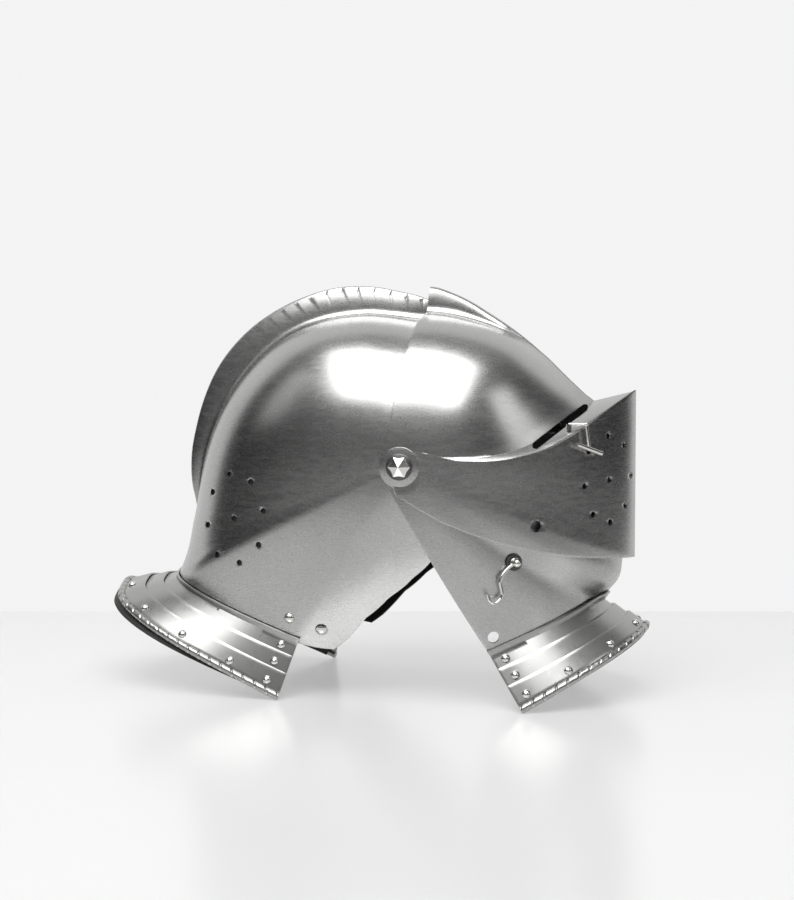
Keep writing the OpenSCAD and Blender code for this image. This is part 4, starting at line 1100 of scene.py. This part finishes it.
class Studio:
    """Floor, backdrop, lights and camera."""

    wall_gap = 0.345

    def build(self) -> None:
        """Sets up the plain pale studio of the photograph."""
        az, el, dist = math.radians(12), math.radians(3), 1.2
        target = Vector((0.01595, 0.0, 0.1796))
        back = Vector((math.sin(az) * math.cos(el), -math.cos(az) * math.cos(el), math.sin(el)))
        cam_data = bpy.data.cameras.new("camera")
        cam_data.lens = 62.4
        cam_data.sensor_fit = "AUTO"
        cam_data.sensor_width = 36
        cam = bpy.data.objects.new("camera", cam_data)
        cam.location = target + back * dist
        cam.rotation_mode = "QUATERNION"
        cam.rotation_quaternion = (-back).to_track_quat("-Z", "Y")
        bpy.context.scene.collection.objects.link(cam)
        bpy.context.scene.camera = cam
        flat = Vector((math.sin(az), -math.cos(az), 0))
        self._plane("floor", Vector((0, 0, 0)), Vector((0, 0, 1)), flat)
        self._plane("backdrop", -flat * self.wall_gap, flat, flat)
        self._light("overhead", Vector((-0.02, -0.62, 1.2)), 1.25, 1.1, 19.0)
        self._light("left_fill", Vector((-1.5, -0.7, 1.2)), 0.5, 0.9, 1.0)
        self._light("right_rim", Vector((1.5, -0.5, 0.9)), 0.6, 0.9, 2.5)
        world = bpy.data.worlds.new("studio")
        bpy.context.scene.world = world
        world.use_nodes = True
        nodes, links = world.node_tree.nodes, world.node_tree.links
        coord = nodes.new("ShaderNodeTexCoord")
        split = nodes.new("ShaderNodeSeparateXYZ")
        links.new(coord.outputs["Generated"], split.inputs[0])
        aside = nodes.new("ShaderNodeMath")
        aside.operation = "ABSOLUTE"
        links.new(split.outputs["X"], aside.inputs[0])
        shares = []
        for value_in, span in ((split.outputs["Z"], (-0.1, 0.5, 0.08, 0.34)),
                               (aside.outputs[0], (0.3, 0.85, 1.0, 0.15))):
            ramp = nodes.new("ShaderNodeMapRange")
            for key, value in zip(("From Min", "From Max", "To Min", "To Max"), span):
                ramp.inputs[key].default_value = value
            links.new(value_in, ramp.inputs["Value"])
            shares.append(ramp.outputs["Result"])
        level = nodes.new("ShaderNodeMath")
        level.operation = "MULTIPLY"
        links.new(shares[0], level.inputs[0])
        links.new(shares[1], level.inputs[1])
        links.new(level.outputs[0], nodes["Background"].inputs["Strength"])
        nodes["Background"].inputs["Color"].default_value = (1, 1, 1, 1)
        bpy.context.scene.view_settings.view_transform = "Standard"

    def _plane(self, name: str, p: Vector, n: Vector, flat: Vector) -> None:
        """A floor or backdrop that shows its own pale colour and takes the object's shadow.

        Its back lets everything through, so a view from behind sees the object.

        Args:
            name: Name of the object.
            p: A point on it.
            n: Its normal.
            flat: Level direction towards the camera.
        """
        floor = name == "floor"
        bm = bmesh.new()
        bmesh.ops.create_grid(bm, x_segments=1, y_segments=1, size=1.2)
        bm.transform(Matrix.Translation(p) @ n.to_track_quat("Z", "Y").to_matrix().to_4x4())
        if floor:
            bmesh.ops.bisect_plane(bm, geom=bm.verts[:] + bm.edges[:] + bm.faces[:],
                                   plane_co=-flat * self.wall_gap, plane_no=-flat, clear_outer=True)
        else:
            for v in bm.verts:
                v.co.z = max(v.co.z, 0.0)
        mesh = bpy.data.meshes.new(name)
        bm.to_mesh(mesh)
        bm.free()
        obj = bpy.data.objects.new(name, mesh)
        bpy.context.scene.collection.objects.link(obj)
        mat = bpy.data.materials.new(name)
        mat.use_nodes = True
        nodes, links = mat.node_tree.nodes, mat.node_tree.links
        shader = nodes["Principled BSDF"]
        tex = nodes.new("ShaderNodeTexNoise")
        tex.inputs["Scale"].default_value = 3
        coord = nodes.new("ShaderNodeTexCoord")
        links.new(coord.outputs["Object"], tex.inputs["Vector"])
        blend = nodes.new("ShaderNodeMix")
        blend.data_type = "RGBA"
        grey = 0.34 if floor else 0.85
        blend.inputs["A"].default_value = (grey * 0.98, grey * 0.98, grey * 0.98, 1)
        blend.inputs["B"].default_value = (grey, grey, grey, 1)
        links.new(tex.outputs["Fac"], blend.inputs["Factor"])
        links.new(blend.outputs["Result"], shader.inputs["Base Color"])
        shader.inputs["Roughness"].default_value = 0.8
        shader.inputs["Specular IOR Level"].default_value = 0.0
        glow = nodes.new("ShaderNodeEmission")
        shown = 0.41 if floor else 0.90
        glow.inputs["Color"].default_value = (shown, shown, shown, 1)
        path = nodes.new("ShaderNodeLightPath")
        seen = path.outputs["Is Camera Ray"]
        for also in ("Is Glossy Ray", "Is Transmission Ray"):
            either = nodes.new("ShaderNodeMath")
            either.operation = "MAXIMUM"
            links.new(seen, either.inputs[0])
            links.new(path.outputs[also], either.inputs[1])
            seen = either.outputs[0]
        swap = nodes.new("ShaderNodeMixShader")
        links.new(seen, swap.inputs[0])
        links.new(shader.outputs[0], swap.inputs[1])
        if floor:
            gloss = nodes.new("ShaderNodeBsdfGlossy")
            gloss.inputs["Color"].default_value = (1, 1, 1, 1)
            gloss.inputs["Roughness"].default_value = 0.22
            polished = nodes.new("ShaderNodeMixShader")
            polished.inputs[0].default_value = 0.2
            links.new(shader.outputs[0], polished.inputs[1])
            links.new(gloss.outputs[0], polished.inputs[2])
            both = nodes.new("ShaderNodeAddShader")
            links.new(polished.outputs[0], both.inputs[0])
            links.new(glow.outputs[0], both.inputs[1])
            links.new(both.outputs[0], swap.inputs[2])
        else:
            links.new(glow.outputs[0], swap.inputs[2])
        one_way = nodes.new("ShaderNodeMixShader")
        links.new(nodes.new("ShaderNodeNewGeometry").outputs["Backfacing"], one_way.inputs[0])
        links.new(swap.outputs[0], one_way.inputs[1])
        links.new(nodes.new("ShaderNodeBsdfTransparent").outputs[0], one_way.inputs[2])
        links.new(one_way.outputs[0], nodes["Material Output"].inputs["Surface"])
        mesh.materials.append(mat)

    def _light(self, name: str, p: Vector, wide: float, high: float, power: float) -> None:
        data = bpy.data.lights.new(name, "AREA")
        data.shape = "RECTANGLE"
        data.size = wide
        data.size_y = high
        data.energy = power
        obj = bpy.data.objects.new(name, data)
        obj.location = p
        obj.rotation_mode = "QUATERNION"
        obj.rotation_quaternion = (Vector((0, 0, 0.15)) - p).to_track_quat("-Z", "Y")
        bpy.context.scene.collection.objects.link(obj)


def dress_cad_nodes(mats: dict[str, bpy.types.Material]) -> None:
    """Gives each CAD node that stays in view its finish and smooth shading."""
    dark = {"hook_washer", "catch_spring", "pivot_nut_right", "pivot_nut_left"}
    for name, node in frame["nodes"].items():
        node.data.materials.clear()
        node.data.materials.append(mats["dark"] if name in dark else mats["bright"])
        node.data.shade_smooth()
        node.data.set_sharp_from_angle(angle=math.radians(30))


def main() -> None:
    """Builds the scene and reports its pieces."""
    logging.basicConfig(level=logging.INFO, format="%(name)s: %(message)s")
    mats = {"steel": STEEL.build(), "collar": COLLAR_STEEL_PAINTED_DIM.build(), "bright": BRIGHT.build(),
            "dark": DARK.build(), "inside": INSIDE_AND_EDGE_SHADE.build(), "leather": LEATHER.build()}
    pivot = next(j for j in frame["joints"] if j["name"] == "bevor_pivot")
    shop = Shop(Vector(pivot["pos_m"]))
    form = Form()
    net = Net(form)
    dress_cad_nodes(mats)
    Skull(shop, net, mats).build()
    face = Face(shop, net, mats)
    face.visor()
    face.ventail()
    face.bevor()
    face.hook()
    CollarWork(shop, Cone(Collar.NAPE, form), "skull", mats).build()
    CollarWork(shop, Cone(Collar.CHIN, form), "bevor", mats).build()
    Studio().build()
    for piece in shop.made:
        log.info("%s: %d faces", piece.name, len(piece.data.polygons))
    bpy.context.view_layer.update()


if __name__ == "__main__":
    main()
